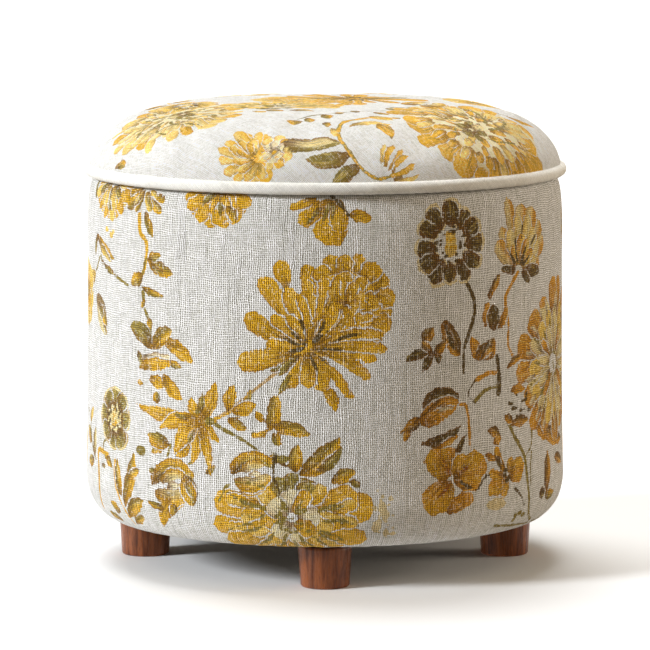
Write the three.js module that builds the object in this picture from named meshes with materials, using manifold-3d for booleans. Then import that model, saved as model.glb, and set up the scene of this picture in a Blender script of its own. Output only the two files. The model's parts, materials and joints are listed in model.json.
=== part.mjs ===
// A round upholstered storage tuffet: a cloth-covered drum on four turned wooden feet,
// closed by a padded lid that lifts off, with a piped edge and a crowned seat.
// Millimetres, +Z up. The origin is on the floor, at the centre of the four feet, and -Y is the front.
import * as THREE from "three";
import { mergeVertices } from "three/addons/utils/BufferGeometryUtils.js";
import Module from "manifold-3d";

// Driving dimensions of the outside
const DRUM_RADIUS = 209.8; // the cloth of the drum, just under its rim
const DRUM_SWELL = 2.4; // how much wider the drum is where its bottom roll begins
const DRUM_TOP = 340; // the rim that the lid rests on
const ROLL_TOP = 76; // where the side begins to roll under
const ROLL_INSET = 28; // how far the bottom roll draws in
const UNDERSIDE = 37.6; // the cloth that is turned under the base
const RIM_INSET = 11.3; // how far the soft rim draws in
const RIM_DROP = 50; // how far down the soft rim reaches
const RIM_POWERS = [4, 2.5]; // how square its outline is, across and up
const PIPING_RADIUS = 208; // centre line of the piping
const PIPING_HEIGHT = 346;
const PIPING_THICKNESS = 10.4;
const PIPING_SLIT = 0.08 * Math.PI; // half the slit between the sleeve's edges, as an angle
const PIPING_TUCK = 2; // the seat's cloth goes this far in over the piping before it turns down
const CROWN_RADIUS = 208.8; // the seat where it meets the piping
const CROWN_BASE = 345;
const CROWN_TOP = 405.8;
const CROWN_POWERS = [4.51, 1.83]; // how square the crown's outline is, across and up
const FOOT_CIRCLE = 160.4; // the feet stand on this radius
const FOOT_HEIGHT = 36;
const FOOT_TOP_RADIUS = 23.2;
const FOOT_BOTTOM_RADIUS = 21.1;
const FOOT_EDGE = 2.4; // rounding of a foot's lower edge

// Materials and clearances
const SIDE_CLOTH = 1.5;
const LID_CLOTH = 1.3;
const LINING = 1.2;
const THIN_CLOTH = 0.9;
const WADDING = 5.5;
const WALL = 9; // bent plywood
const BASE_PLY = 15;
const BASE_EASE = 4.5; // bevel of the base board's lower edge, where the roll begins
const LID_PLY = 12;
const FLOOR_PANEL = 2.4;
const GAP = 0.3; // between pieces that touch
const SIDES = 48; // facets round every large ring
const SMALL_SIDES = 12; // facets round a fastener
const TURN_STEPS = 4; // facets of the bottom roll and of the rim, in section
const CROWN_STEPS = 8; // facets of the crown, in section

// The frame of the drum
const WALL_OUTER = 196;
const WALL_INNER = WALL_OUTER - WALL;
const WALL_FOOT = 46; // lower edge of the wall, inside the bottom roll
const WALL_TOP = DRUM_TOP - SIDE_CLOTH - GAP;
const BASE_BOTTOM = UNDERSIDE + SIDE_CLOTH + GAP;
const BASE_TOP = BASE_BOTTOM + BASE_PLY;
const LINING_OUTER = WALL_INNER - GAP;
const COMPARTMENT_RADIUS = LINING_OUTER - LINING;
const TAIL_RADIUS = LINING_OUTER - SIDE_CLOTH; // the cloth's tail, turned down inside the rim
const TAIL_DEPTH = 18;
const HEM_INNER = 168; // the cloth turned under the base ends here
const DUST_COVER_RADIUS = 175;

// The frame of the lid
const LID_HEM_BOTTOM = DRUM_TOP + GAP;
const LID_BOARD_BOTTOM = LID_HEM_BOTTOM + LID_CLOTH + GAP;
const LID_BOARD_TOP = LID_BOARD_BOTTOM + LID_PLY;
const LID_BOARD_RADIUS = 200.6;
const LID_HEM_INNER = 183;
const LOCATING_RADIUS = 181;
const LOCATING_PLY = 11.7;
const LOCATING_TOP = LID_BOARD_BOTTOM - GAP;
const LOCATING_BOTTOM = LOCATING_TOP - LOCATING_PLY;

// Fasteners
const BOLT_RADIUS = 4; // M8 hanger bolt
const BOLT_BOTTOM = 13.3;
const BOLT_TOP = BASE_TOP + 2; // just proud of the tee nut's flange
const BOLT_CHAMFER = 1;
const NUT_BARREL = 5.2;
const NUT_FLANGE = 10;
const NUT_FLANGE_THICKNESS = 1.5;
const NUT_DEPTH = 10;
const SCREW_COUNT = 6;
const SCREW_CIRCLE = 120;
const SCREW_RADIUS = 2;
const SCREW_HEAD = 4;
const SCREW_HEAD_HEIGHT = 2.4;
const SCREW_LENGTH = 22;

const wasm = await Module();
wasm.setup();

const HALF_TURN = Math.PI;
const QUARTER_TURN = Math.PI / 2;

// Finishes
const finish = (color, roughness, metalness = 0) =>
  new THREE.MeshStandardMaterial({ color, roughness, metalness });
const PRINTED_LINEN = finish(0xe2dccd, 0.95);
const PLAIN_LINEN = finish(0xe4dfd3, 0.95);
const WALNUT = finish(0x7a4a2c, 0.42);
const PLYWOOD = finish(0xcfae7c, 0.75);
const FOAM = finish(0xece4b4, 1);
const WHITE_WADDING = finish(0xf1f1ee, 1);
const LINING_CLOTH = finish(0xb9ad98, 0.95);
const BLACK_CLOTH = finish(0x26241f, 0.98);
const STEEL = finish(0xb4b4b0, 0.35, 1);

const part = new THREE.Group();

// Names a piece and puts it in the object
function add(name, geometry, material, x = 0, y = 0) {
  const mesh = new THREE.Mesh(geometry, material);
  mesh.name = name;
  mesh.position.set(x, y, 0);
  part.add(mesh);
}

// Profiles are lists of [radius, height]

// Twice the signed area that a profile goes round, positive when it runs anticlockwise
function turning(profile) {
  return profile.reduce((sum, [r, z], i) => {
    const [nextR, nextZ] = profile[(i + 1) % profile.length];
    return sum + r * nextZ - nextR * z;
  }, 0);
}

// A closed profile revolved about the vertical axis
function revolve(profile, sides = SIDES) {
  const outline = turning(profile) > 0 ? profile : [...profile].reverse();
  const points = [...outline, outline[0]].map(([r, z]) => new THREE.Vector2(r, z));
  return new THREE.LatheGeometry(points, sides).rotateX(QUARTER_TURN);
}

const ring = (inner, outer, bottom, top) => [
  [inner, bottom],
  [outer, bottom],
  [outer, top],
  [inner, top],
];
const disc = (radius, bottom, top) => ring(0, radius, bottom, top);

// Points of a rounded quarter from its side (start = 0) to its end (start = 1), with the bulge
// that the two exponents give: 2 is an ellipse, and more is squarer
function quarter(center, radii, powers, steps, up = 1) {
  return Array.from({ length: steps + 1 }, (_, i) => {
    const angle = (QUARTER_TURN * i) / steps;
    return [
      center[0] + radii[0] * Math.cos(angle) ** (2 / powers[0]),
      center[1] + up * radii[1] * Math.sin(angle) ** (2 / powers[1]),
    ];
  });
}

// The same line moved to its left, by a cloth's or a pad's thickness. Its ends move square to it.
function inset(line, distance) {
  return line.map(([r, z], i) => {
    const before = line[Math.max(i - 1, 0)];
    const after = line[Math.min(i + 1, line.length - 1)];
    const first = new THREE.Vector2(r - before[0], z - before[1]);
    const second = new THREE.Vector2(after[0] - r, after[1] - z);
    const left = [first, second]
      .filter((edge) => edge.length() > 0)
      .map((edge) => new THREE.Vector2(-edge.y, edge.x).normalize());
    const middle = left.reduce((sum, edge) => sum.clone().add(edge)).normalize();
    const reach = distance / Math.max(middle.dot(left[0]), 0.5);
    return [Math.max(r + middle.x * reach, 0), z + middle.y * reach];
  });
}

// A sheet of cloth or padding between two insets of one line
const sheet = (line, outer, inner) => [...inset(line, outer), ...inset(line, inner).reverse()];

// Joining and cutting

function solidOf(geometry) {
  const bare = geometry.clone();
  bare.deleteAttribute("normal");
  bare.deleteAttribute("uv");
  const merged = mergeVertices(bare, 1e-3);
  return new wasm.Manifold(
    new wasm.Mesh({
      numProp: 3,
      vertProperties: merged.attributes.position.array,
      triVerts: new Uint32Array(merged.index.array),
    }),
  );
}

function geometryOf(solid) {
  const mesh = solid.getMesh();
  const geometry = new THREE.BufferGeometry();
  geometry.setAttribute("position", new THREE.BufferAttribute(mesh.vertProperties, 3));
  geometry.setIndex(new THREE.BufferAttribute(mesh.triVerts, 1));
  geometry.computeVertexNormals();
  return geometry;
}

// A geometry with one cutter taken out at each of the places
function drilled(geometry, cutter, places) {
  return geometryOf(
    places.reduce(
      (solid, [x, y]) => solid.subtract(solidOf(cutter.clone().translate(x, y, 0))),
      solidOf(geometry),
    ),
  );
}

// Places on a circle, the first at the given angle from +X
const around = (count, radius, firstAngle) =>
  Array.from({ length: count }, (_, i) => {
    const angle = firstAngle + (2 * HALF_TURN * i) / count;
    return [radius * Math.cos(angle), radius * Math.sin(angle)];
  });

const FEET = { right: 0, back: 1, left: 2, front: 3 }; // quarter turns from +X
const FOOT_PLACES = around(4, FOOT_CIRCLE, 0);
const SCREW_PLACES = around(SCREW_COUNT, SCREW_CIRCLE, HALF_TURN / SCREW_COUNT);

// The drum's outside from the start of the roll under the base, up the side and over the rim. Its left
// is the side that the padding is on.
function drumLine() {
  const rollTurn = [DRUM_RADIUS + DRUM_SWELL - ROLL_INSET, ROLL_TOP];
  const rollRadii = [ROLL_INSET, ROLL_TOP - UNDERSIDE];
  const roll = quarter(rollTurn, rollRadii, [2, 2], TURN_STEPS, -1).reverse();
  const rimTurn = [DRUM_RADIUS - RIM_INSET, DRUM_TOP - RIM_DROP];
  return [...roll, ...quarter(rimTurn, [RIM_INSET, RIM_DROP], RIM_POWERS, TURN_STEPS)];
}

// The seat's outside, from its edge behind the piping up to the axis
function crownLine() {
  const radii = [CROWN_RADIUS, CROWN_TOP - CROWN_BASE];
  return quarter([0, CROWN_BASE], radii, CROWN_POWERS, CROWN_STEPS);
}

function drum() {
  const outside = drumLine();
  const tail = [
    [TAIL_RADIUS, DRUM_TOP],
    [TAIL_RADIUS, DRUM_TOP - TAIL_DEPTH],
  ];
  const cloth = [[HEM_INNER, UNDERSIDE], ...outside, ...tail];
  add("side_cover", revolve(sheet(cloth, 0, SIDE_CLOTH)), PRINTED_LINEN);

  const padInner = WALL_OUTER + GAP;
  const pad = inset(outside, SIDE_CLOTH + GAP).filter(([r, z]) => r > padInner && z > WALL_FOOT);
  const foam = [[padInner, pad[0][1]], ...pad, [padInner, WALL_TOP]];
  add("side_foam", revolve(foam), FOAM);

  add("drum_wall", revolve(ring(WALL_INNER, WALL_OUTER, WALL_FOOT, WALL_TOP)), PLYWOOD);

  const liningTop = DRUM_TOP - TAIL_DEPTH - GAP;
  const lining = ring(COMPARTMENT_RADIUS, LINING_OUTER, BASE_TOP + GAP, liningTop);
  add("lining_wall", revolve(lining), LINING_CLOTH);

  const floorBottom = BOLT_TOP + GAP;
  const floor = disc(COMPARTMENT_RADIUS - GAP, floorBottom, floorBottom + FLOOR_PANEL);
  add("lining_floor", revolve(floor), LINING_CLOTH);
}

function base() {
  const nutHole = revolve(disc(NUT_BARREL + GAP, 0, DRUM_TOP), SMALL_SIDES);
  const board = [
    [0, BASE_BOTTOM],
    [LINING_OUTER - BASE_EASE, BASE_BOTTOM],
    [LINING_OUTER, BASE_BOTTOM + BASE_EASE],
    [LINING_OUTER, BASE_TOP],
    [0, BASE_TOP],
  ];
  add("base_board", drilled(revolve(board), nutHole, FOOT_PLACES), PLYWOOD);

  const boltHole = revolve(disc(BOLT_RADIUS + GAP, 0, DRUM_TOP), SMALL_SIDES);
  const cover = revolve(disc(DUST_COVER_RADIUS, FOOT_HEIGHT + GAP, UNDERSIDE - GAP));
  add("dust_cover", drilled(cover, boltHole, FOOT_PLACES), BLACK_CLOTH);
}

// A turned foot, its edge rounded below and bored from above for the bolt
function footProfile() {
  const edgeTurn = [FOOT_BOTTOM_RADIUS - FOOT_EDGE, FOOT_EDGE];
  const edge = quarter(edgeTurn, [FOOT_EDGE, FOOT_EDGE], [2, 2], 2, -1).reverse();
  const bore = BOLT_RADIUS + GAP;
  return [
    [0, 0],
    ...edge,
    [FOOT_TOP_RADIUS, FOOT_HEIGHT],
    [bore, FOOT_HEIGHT],
    [bore, BOLT_BOTTOM - GAP],
    [0, BOLT_BOTTOM - GAP],
  ];
}

function boltProfile() {
  const tip = BOLT_RADIUS - BOLT_CHAMFER;
  return [
    [0, BOLT_BOTTOM],
    [tip, BOLT_BOTTOM],
    [BOLT_RADIUS, BOLT_BOTTOM + BOLT_CHAMFER],
    [BOLT_RADIUS, BOLT_TOP - BOLT_CHAMFER],
    [tip, BOLT_TOP],
    [0, BOLT_TOP],
  ];
}

// The flange lies on the base board and the barrel goes down into it
function teeNutProfile() {
  const seat = BASE_TOP + GAP;
  const bore = BOLT_RADIUS + GAP;
  return [
    [bore, seat - NUT_DEPTH],
    [NUT_BARREL, seat - NUT_DEPTH],
    [NUT_BARREL, seat],
    [NUT_FLANGE, seat],
    [NUT_FLANGE, seat + NUT_FLANGE_THICKNESS],
    [bore, seat + NUT_FLANGE_THICKNESS],
  ];
}

function feet() {
  for (const [side, turn] of Object.entries(FEET)) {
    const [x, y] = FOOT_PLACES[turn];
    add(`foot_${side}`, revolve(footProfile(), SIDES / 2), WALNUT, x, y);
    add(`foot_bolt_${side}`, revolve(boltProfile(), SMALL_SIDES), STEEL, x, y);
    add(`tee_nut_${side}`, revolve(teeNutProfile(), SMALL_SIDES), STEEL, x, y);
  }
}

// The cushion: one cloth drawn over wadding and foam, tucked in behind the piping and turned under
// the board
function cushion() {
  const crown = crownLine();
  const pipingTop = PIPING_HEIGHT + PIPING_THICKNESS / 2;
  const tuckRadius = LID_BOARD_RADIUS + LID_CLOTH + GAP;
  const tuck = [
    [LID_HEM_INNER, LID_HEM_BOTTOM],
    [tuckRadius - LID_CLOTH, LID_HEM_BOTTOM],
    [tuckRadius, LID_HEM_BOTTOM + LID_CLOTH],
    [tuckRadius, PIPING_HEIGHT],
    [tuckRadius + PIPING_TUCK, pipingTop + GAP],
  ];
  const cover = [...tuck, ...standingOn(crown, pipingTop + 2 * GAP)];
  add("lid_cover", revolve(sheet(cover, 0, LID_CLOTH)), PRINTED_LINEN);

  const seat = LID_BOARD_TOP + GAP;
  const padFrom = LID_CLOTH + GAP;
  const shell = (depth) => standingOn(inset(crown, depth), seat);
  const wadding = [...shell(padFrom), ...shell(padFrom + WADDING).reverse()];
  add("lid_wadding", revolve(wadding), WHITE_WADDING);
  const core = shell(padFrom + WADDING + GAP);
  add("lid_foam", revolve([[0, seat], ...core]), FOAM);
}

// The part of a rising line above a height, begun exactly at that height
function standingOn(line, height) {
  const first = line.findIndex(([, z]) => z > height);
  const [lowR, lowZ] = line[Math.max(first - 1, 0)];
  const [highR, highZ] = line[first];
  const share = first > 0 ? (height - lowZ) / (highZ - lowZ) : 0;
  return [[lowR + (highR - lowR) * share, height], ...line.slice(first)];
}

// A cord in a sleeve of cloth whose two edges meet behind it, where they are sewn in
function piping() {
  const round = (radius, count, from, to) =>
    Array.from({ length: count }, (_, i) => {
      const angle = from + ((to - from) * i) / (count - 1);
      return [
        PIPING_RADIUS + radius * Math.cos(angle),
        PIPING_HEIGHT + radius * Math.sin(angle),
      ];
    });
  const outer = PIPING_THICKNESS / 2;
  const inner = outer - LID_CLOTH;
  const edge = HALF_TURN - PIPING_SLIT;
  const sleeve = [...round(outer, 13, -edge, edge), ...round(inner, 9, edge, -edge)];
  add("piping_sleeve", revolve(sleeve), PLAIN_LINEN);
  const cord = round(inner - GAP * 2, 9, 0, 2 * HALF_TURN).slice(1);
  add("piping_cord", revolve(cord), WHITE_WADDING);
}

// A countersunk screw, or with some room the hole that it goes up into
function screwProfile(room) {
  const shank = SCREW_RADIUS + room;
  const top = LOCATING_BOTTOM + SCREW_LENGTH + room;
  return [
    [0, LOCATING_BOTTOM],
    [SCREW_HEAD + room, LOCATING_BOTTOM],
    [shank, LOCATING_BOTTOM + SCREW_HEAD_HEIGHT + room],
    [shank, top - SCREW_RADIUS],
    [0, top],
  ];
}

function lidFrame() {
  const screwHole = revolve(screwProfile(GAP), SMALL_SIDES);
  const board = revolve(disc(LID_BOARD_RADIUS, LID_BOARD_BOTTOM, LID_BOARD_TOP));
  add("lid_board", drilled(board, screwHole, SCREW_PLACES), PLYWOOD);

  const plug = revolve(disc(LOCATING_RADIUS, LOCATING_BOTTOM, LOCATING_TOP));
  add("locating_disc", drilled(plug, screwHole, SCREW_PLACES), PLYWOOD);

  const panInner = LOCATING_RADIUS + GAP;
  const panOuter = panInner + THIN_CLOTH;
  const panFloor = LOCATING_BOTTOM - GAP;
  const pan = [
    [0, panFloor - THIN_CLOTH],
    [panOuter, panFloor - THIN_CLOTH],
    [panOuter, LOCATING_TOP],
    [panInner, LOCATING_TOP],
    [panInner, panFloor],
    [0, panFloor],
  ];
  add("lid_liner", revolve(pan), LINING_CLOTH);

  SCREW_PLACES.forEach(([x, y], i) => {
    add(`lid_screw_${i + 1}`, revolve(screwProfile(0), SMALL_SIDES), STEEL, x, y);
  });
}

drum();
base();
feet();
cushion();
piping();
lidFrame();

export default part;
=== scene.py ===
"""A round upholstered storage tuffet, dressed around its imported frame.

Lengths are in millimetres until a mesh is made, and MM turns them into metres. The axis of the drum is
Z and the front is -Y. A place on the side cloth is (along, up): along the cloth from the front line,
growing to the right as seen from the front, and height. A place on the seat's cloth is (x, y).
"""

import json
import math

import bpy
import numpy as np
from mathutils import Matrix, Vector
from mathutils.bvhtree import BVHTree


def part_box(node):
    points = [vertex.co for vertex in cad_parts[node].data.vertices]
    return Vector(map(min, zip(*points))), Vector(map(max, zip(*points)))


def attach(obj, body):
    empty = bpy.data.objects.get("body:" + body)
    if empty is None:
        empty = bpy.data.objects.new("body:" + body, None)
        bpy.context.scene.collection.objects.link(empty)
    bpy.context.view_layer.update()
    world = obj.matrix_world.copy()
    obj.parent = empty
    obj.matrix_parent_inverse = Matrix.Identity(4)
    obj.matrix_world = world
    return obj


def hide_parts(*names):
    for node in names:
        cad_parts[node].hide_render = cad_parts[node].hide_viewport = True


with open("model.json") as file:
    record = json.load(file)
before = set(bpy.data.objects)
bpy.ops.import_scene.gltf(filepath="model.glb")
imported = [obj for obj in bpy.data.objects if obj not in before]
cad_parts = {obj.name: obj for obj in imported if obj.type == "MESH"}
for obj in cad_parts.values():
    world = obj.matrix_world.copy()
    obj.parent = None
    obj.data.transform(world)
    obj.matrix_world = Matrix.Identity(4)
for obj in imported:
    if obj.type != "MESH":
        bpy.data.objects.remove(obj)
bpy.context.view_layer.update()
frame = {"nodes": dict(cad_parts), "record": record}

MM = 0.001
TINY = 1e-6
SEED = 11


def box(node):
    """Lowest and highest corner of a CAD node, in mm."""
    low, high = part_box(node)
    return np.array(low) / MM, np.array(high) / MM


# Sizes that the frame gives
COVER_LOW, COVER_HIGH = box("side_cover")
PIPING_LOW, PIPING_HIGH = box("piping_sleeve")
LINING_LOW, LINING_HIGH = box("lining_wall")
FLOOR_LOW, FLOOR_HIGH = box("lining_floor")
LINER_LOW, LINER_HIGH = box("lid_liner")
DUST_LOW, DUST_HIGH = box("dust_cover")
CROWN_TOP = box("lid_cover")[1][2]
LID_HEM = box("lid_cover")[0][2]

# The drum's outside
DRUM_TOP = COVER_HIGH[2]
UNDERSIDE = COVER_LOW[2]
WIDEST = COVER_HIGH[0]
SWELL = 2.4
DRUM_RADIUS = WIDEST - SWELL
ROLL_TOP = 76
ROLL_INSET = 28
RIM_INSET = 11.3
RIM_DROP = 50
RIM_POWERS = (4, 2.5)
TAIL_RADIUS = 185.2
TAIL_DEPTH = 18
HEM_INNER = 168
CLOTH = 1.2

# The seat
PIPING_RADIUS = 5.2
PIPING_CIRCLE = PIPING_HIGH[0] - PIPING_RADIUS
PIPING_HEIGHT = (PIPING_LOW[2] + PIPING_HIGH[2]) / 2
CROWN_RADIUS = 208.8
CROWN_BASE = 345
CROWN_POWERS = (4.51, 1.83)
LID_HEM_INNER = 183
LID_EDGE = 202.2

# The seat's cloth: its simulation, and where it is free to rise
PAD_STEP = 6
PAD_FRAMES = 20
PAD_PRESSURE = 4
PAD_SHRINK = -0.03
MOST_LIFT = 4
LIFT_KEPT = 0.6
LIFT_RADIUS = 203
LIFT_ROWS, LIFT_COLUMNS = 30, 72
SEAT_STEP = 1.9
SEAT_COLUMNS = 560
SEAT_SEAM = 353
SEAT_FADE = 22  # the crown's unevenness grows over this height above the seam
SEAT_WAVES = 0.5
PUCKERS = 0.45

# The piping's sleeve: its unevenness, its slanting pulls and its lapped join
PIPING_COLUMNS, PIPING_ROWS = 900, 22
SLEEVE_WAVES = 0.14
PULL = 0.24
PULL_PITCH = 8.6  # from one pull to the next
LAP = 0.55
LAP_LENGTH = 16

# The feet
FOOT_HEIGHT = 36
FOOT_TOP_RADIUS = 23.2
FOOT_BOTTOM_RADIUS = 21.1
FOOT_EDGE = 2.4
FOOT_SIDES = 96
SIDES = ("front", "right", "back", "left")

# The staples
TAIL_STAPLES = 40
DUST_STAPLES = 36
CORNERS = ((-1, -1), (1, -1), (1, 1), (-1, 1))

# The linings
WALL_RADIUS = 185.5
WALL_COLUMNS = 360
DISC_COLUMNS = 240
DUST_COLUMNS = 300

# The side cloth's unevenness
SIDE_WAVES = 0.35
SIDE_FADE = 30  # the waves fade out over this height towards the roll and the rim
GATHERS = 0.5
PLEATS = 0.35
ROLL_MIDDLE = 50
SEAM_DEPTH = 1.5
STITCH = 7  # from one stitch to the next

# How finely the cloth is meshed
FINE_STEP = 1.7
COARSE_STEP = 3.0
ROW_STEP = 2.25
FINE_HALF_ANGLE = math.radians(100)
CLOTH_RADIUS = 211  # the side cloth's places are measured along this radius
REPEAT = math.pi * CLOTH_RADIUS  # the print repeats in half a turn of the drum


# Profiles are arrays of (radius, height)

def quarter(center, radii, steps, up=1, powers=(2, 2)):
    """A rounded quarter from its side to its end; more than 2 in powers is squarer than an ellipse."""
    angle = np.linspace(0, math.pi / 2, steps + 1)
    across = np.clip(np.cos(angle), 0, 1) ** (2 / powers[0])
    rise = np.sin(angle) ** (2 / powers[1])
    return np.column_stack([center[0] + radii[0] * across, center[1] + up * radii[1] * rise])


def lengths(line):
    """Distance along a line to each of its points."""
    steps = np.linalg.norm(np.diff(line, axis=0), axis=1)
    return np.concatenate([[0], np.cumsum(steps)])


def resampled(line, step):
    """The same line with points about one step apart."""
    far = lengths(line)
    at = np.linspace(0, far[-1], max(2, round(far[-1] / step) + 1))
    return np.column_stack([np.interp(at, far, line[:, i]) for i in range(line.shape[1])])


def drum_profile():
    """The side cloth from its hem under the base, round the roll, up, over the rim and down inside."""
    roll = quarter((WIDEST - ROLL_INSET, ROLL_TOP), (ROLL_INSET, ROLL_TOP - UNDERSIDE), 40, -1)[::-1]
    rim_foot = DRUM_TOP - RIM_DROP
    up = np.linspace(ROLL_TOP, rim_foot, 80)[1:-1]
    swell = SWELL * ((rim_foot - up) / (rim_foot - ROLL_TOP)) ** 2
    side = np.column_stack([DRUM_RADIUS + swell, up])
    rim = quarter((DRUM_RADIUS - RIM_INSET, rim_foot), (RIM_INSET, RIM_DROP), 60, 1, RIM_POWERS)
    outside = np.vstack([roll, side, rim])
    hem = np.array([[HEM_INNER, UNDERSIDE + CLOTH], [HEM_INNER, UNDERSIDE], [HEM_INNER + 8, UNDERSIDE]])
    corner = quarter((TAIL_RADIUS + 2.5, DRUM_TOP - 2.5), (-2.5, 2.5), 5)[::-1]
    tail_end = DRUM_TOP - TAIL_DEPTH
    tail = np.array([[TAIL_RADIUS, tail_end], [TAIL_RADIUS + CLOTH, tail_end]])
    return hem, outside, np.vstack([corner, tail])


def crown_profile():
    """The seat's outline from its edge behind the piping up to the axis."""
    line = quarter((0, CROWN_BASE), (CROWN_RADIUS, CROWN_TOP - CROWN_BASE), 400, 1, CROWN_POWERS)
    start = PIPING_HEIGHT + PIPING_RADIUS * 0.62
    return line[line[:, 1] > start]


# Meshes

def mesh_object(name, points, faces, smooth=True):
    """An object from points in mm and faces."""
    mesh = bpy.data.meshes.new(name)
    mesh.from_pydata((np.asarray(points) * MM).tolist(), [], faces)
    mesh.validate()
    if smooth:
        mesh.shade_smooth()
    made = bpy.data.objects.new(name, mesh)
    bpy.context.scene.collection.objects.link(made)
    return made


def grid_faces(rows, columns, around):
    """Quads of a grid of points, closed across its last column where it goes around."""
    index = np.arange(rows * columns).reshape(rows, columns)
    right = np.roll(index, -1, axis=1) if around else index[:, 1:]
    left = index if around else index[:, :-1]
    quads = np.stack([left[:-1], right[:-1], right[1:], left[1:]], axis=-1)
    return quads.reshape(-1, 4).tolist()


def grid_object(name, grid, around=False):
    """An object from an array of rows x columns x 3 points in mm."""
    rows, columns, _ = grid.shape
    return mesh_object(name, grid.reshape(-1, 3), grid_faces(rows, columns, around))


def revolved(name, profile, sides, center=(0, 0)):
    """A profile turned about a vertical axis through center; a row on the axis becomes one point."""
    angle = np.linspace(0, 2 * math.pi, sides, endpoint=False)
    cos, sin = np.cos(angle), np.sin(angle)
    points, rings = [], []
    for radius, height in profile:
        start = len(points)
        if radius < TINY:
            points.append((center[0], center[1], height))
            rings.append([start] * sides)
            continue
        points += [(center[0] + radius * c, center[1] + radius * s, height) for c, s in zip(cos, sin)]
        rings.append(list(range(start, start + sides)))
    faces = []
    for low, high in zip(rings, rings[1:]):
        for i in range(sides):
            j = (i + 1) % sides
            corners = [low[i], low[j], high[j], high[i]]
            face = list(dict.fromkeys(corners))
            if len(face) > 2:
                faces.append(face)
    return mesh_object(name, points, faces)


def around_axis(columns):
    """Angles of a closed round grid's columns, from the back round to it again; the front is at 0."""
    return np.linspace(-math.pi, math.pi, columns, endpoint=False)


def polar(profile, angle):
    """A profile turned about the drum's axis: each point's angle, radius and height."""
    profile = np.asarray(profile, float)
    turn = np.broadcast_to(angle, (len(profile), angle.size))
    return turn, *(np.repeat(profile[:, i, None], angle.size, axis=1) for i in (0, 1))


def turned(r, turn, z):
    """Points at these radii, angles and heights."""
    return np.stack([r * np.sin(turn), -r * np.cos(turn), z], axis=-1)


def round_cloth(name, grid, top, turn, flat, turned_down=False):
    """An object from a round grid whose rows go inwards from its edge, closed at the point top.

    Flat is each row's radius on the cloth laid flat. Gives the object and its points' places on that cloth.
    """
    rows, columns, _ = grid.shape
    last = (rows - 1) * columns
    faces = grid_faces(rows, columns, True)
    faces += [[last + i, last + (i + 1) % columns, rows * columns] for i in range(columns)]
    if turned_down:
        faces = [face[::-1] for face in faces]
    made = mesh_object(name, np.vstack([grid.reshape(-1, 3), [top]]), faces)
    flat = np.repeat(flat[:, None], columns, axis=1)
    cloth = np.vstack([turned(flat, turn, 0 * flat).reshape(-1, 3), [[0, 0, 0]]])
    give(made, "cloth", "FLOAT_VECTOR", cloth)
    return made, cloth


def give(made, name, kind, values):
    """Adds a value for each point of the object's mesh."""
    attribute = made.data.attributes.new(name, kind, "POINT")
    key = "color" if kind == "FLOAT_COLOR" else "vector"
    attribute.data.foreach_set(key, np.asarray(values, np.float32).ravel())


def bell(away, width):
    """1 in the middle, falling off within about this width."""
    return np.exp(-((away / width) ** 2))


def wave(along, up, seed, size, octaves=3):
    """Smooth seeded unevenness from sums of sines, about -1 to 1, for moving points."""
    random = np.random.default_rng(seed)
    total = np.zeros_like(along, float)
    for octave in range(octaves):
        for _ in range(5):
            heading = random.uniform(0, 2 * math.pi)
            pitch = 2 * math.pi * 2**octave / size * random.uniform(0.7, 1.3)
            phase = random.uniform(0, 2 * math.pi)
            onward = along * math.cos(heading) + up * math.sin(heading)
            total += np.sin(onward * pitch + phase) / 2**octave
    return total / 5


# The print. A shape is a line with a width; each layer keeps, for every point of the cloth, how far it is
# outside the nearest shape, how far it is to one side of that shape's line, how far along, and its ink.

LAYERS = 9
FAR = 30  # how far from any shape a point counts to be at first
STEMS = 0
CENTRES = 7
DOTS = 8
SIDE_GAP = 1.5  # how wide the bare line round a petal is
SEAT_GAP = 0.9

# How a shape's width grows and fades along it
TONGUE = (0.75, 0.32)
LEAF = (0.8, 0.85)
POINTED = (0.85, 1.25)
LOBE = (0.42, 0.26)
BUD = (0.5, 0.6)

BEND = 0.1  # how much a petal or leaf is bowed where its row doesn't say


def srgb(red, green, blue, fourth=1.0):
    """A colour as seen on a screen, in linear values, and a fourth value after it."""
    value = np.array([red, green, blue]) / 255
    return *np.where(value <= 0.04045, value / 12.92, ((value + 0.055) / 1.055) ** 2.4), fourth


def plain(ink, marks=0):
    """An ink without its brush marks, or with this much of them."""
    return *ink[:3], marks


# Inks: a colour and how strongly darker brush marks are drawn in it, from 0 to 1
MUSTARD = srgb(218, 166, 20, 0.6)
YELLOW = srgb(236, 198, 88, 0.5)
AMBER = srgb(208, 146, 26, 0.72)
OLIVE = srgb(142, 122, 46, 0.7)
DARK_OLIVE = srgb(96, 74, 24, 0.5)
GOLD = srgb(228, 176, 40, 0.6)
STRAW = srgb(240, 206, 110, 0.55)
CREAM = srgb(232, 212, 148, 0.8)
PALE = srgb(236, 222, 180, 0.8)
FADED = srgb(226, 206, 156, 0.0)
TAN = srgb(196, 160, 104, 0.0)

# What the inks turn to: warmer, darker and lighter
SHADE = srgb(150, 90, 8)
BRUSH = srgb(84, 60, 12)
HIGHLIGHT = srgb(238, 206, 112)

# The ink on the other side of some leaves
PARTNERS = {MUSTARD: OLIVE, OLIVE: MUSTARD, AMBER: DARK_OLIVE, YELLOW: OLIVE, CREAM: OLIVE}

# Colours of the cloths under the print and of the linings
GROUND = srgb(228, 226, 220)
GROUND_WHITE = srgb(234, 232, 227)
LINING_LIGHT = srgb(206, 196, 178)
LINING_DARK = srgb(190, 179, 158)


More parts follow.
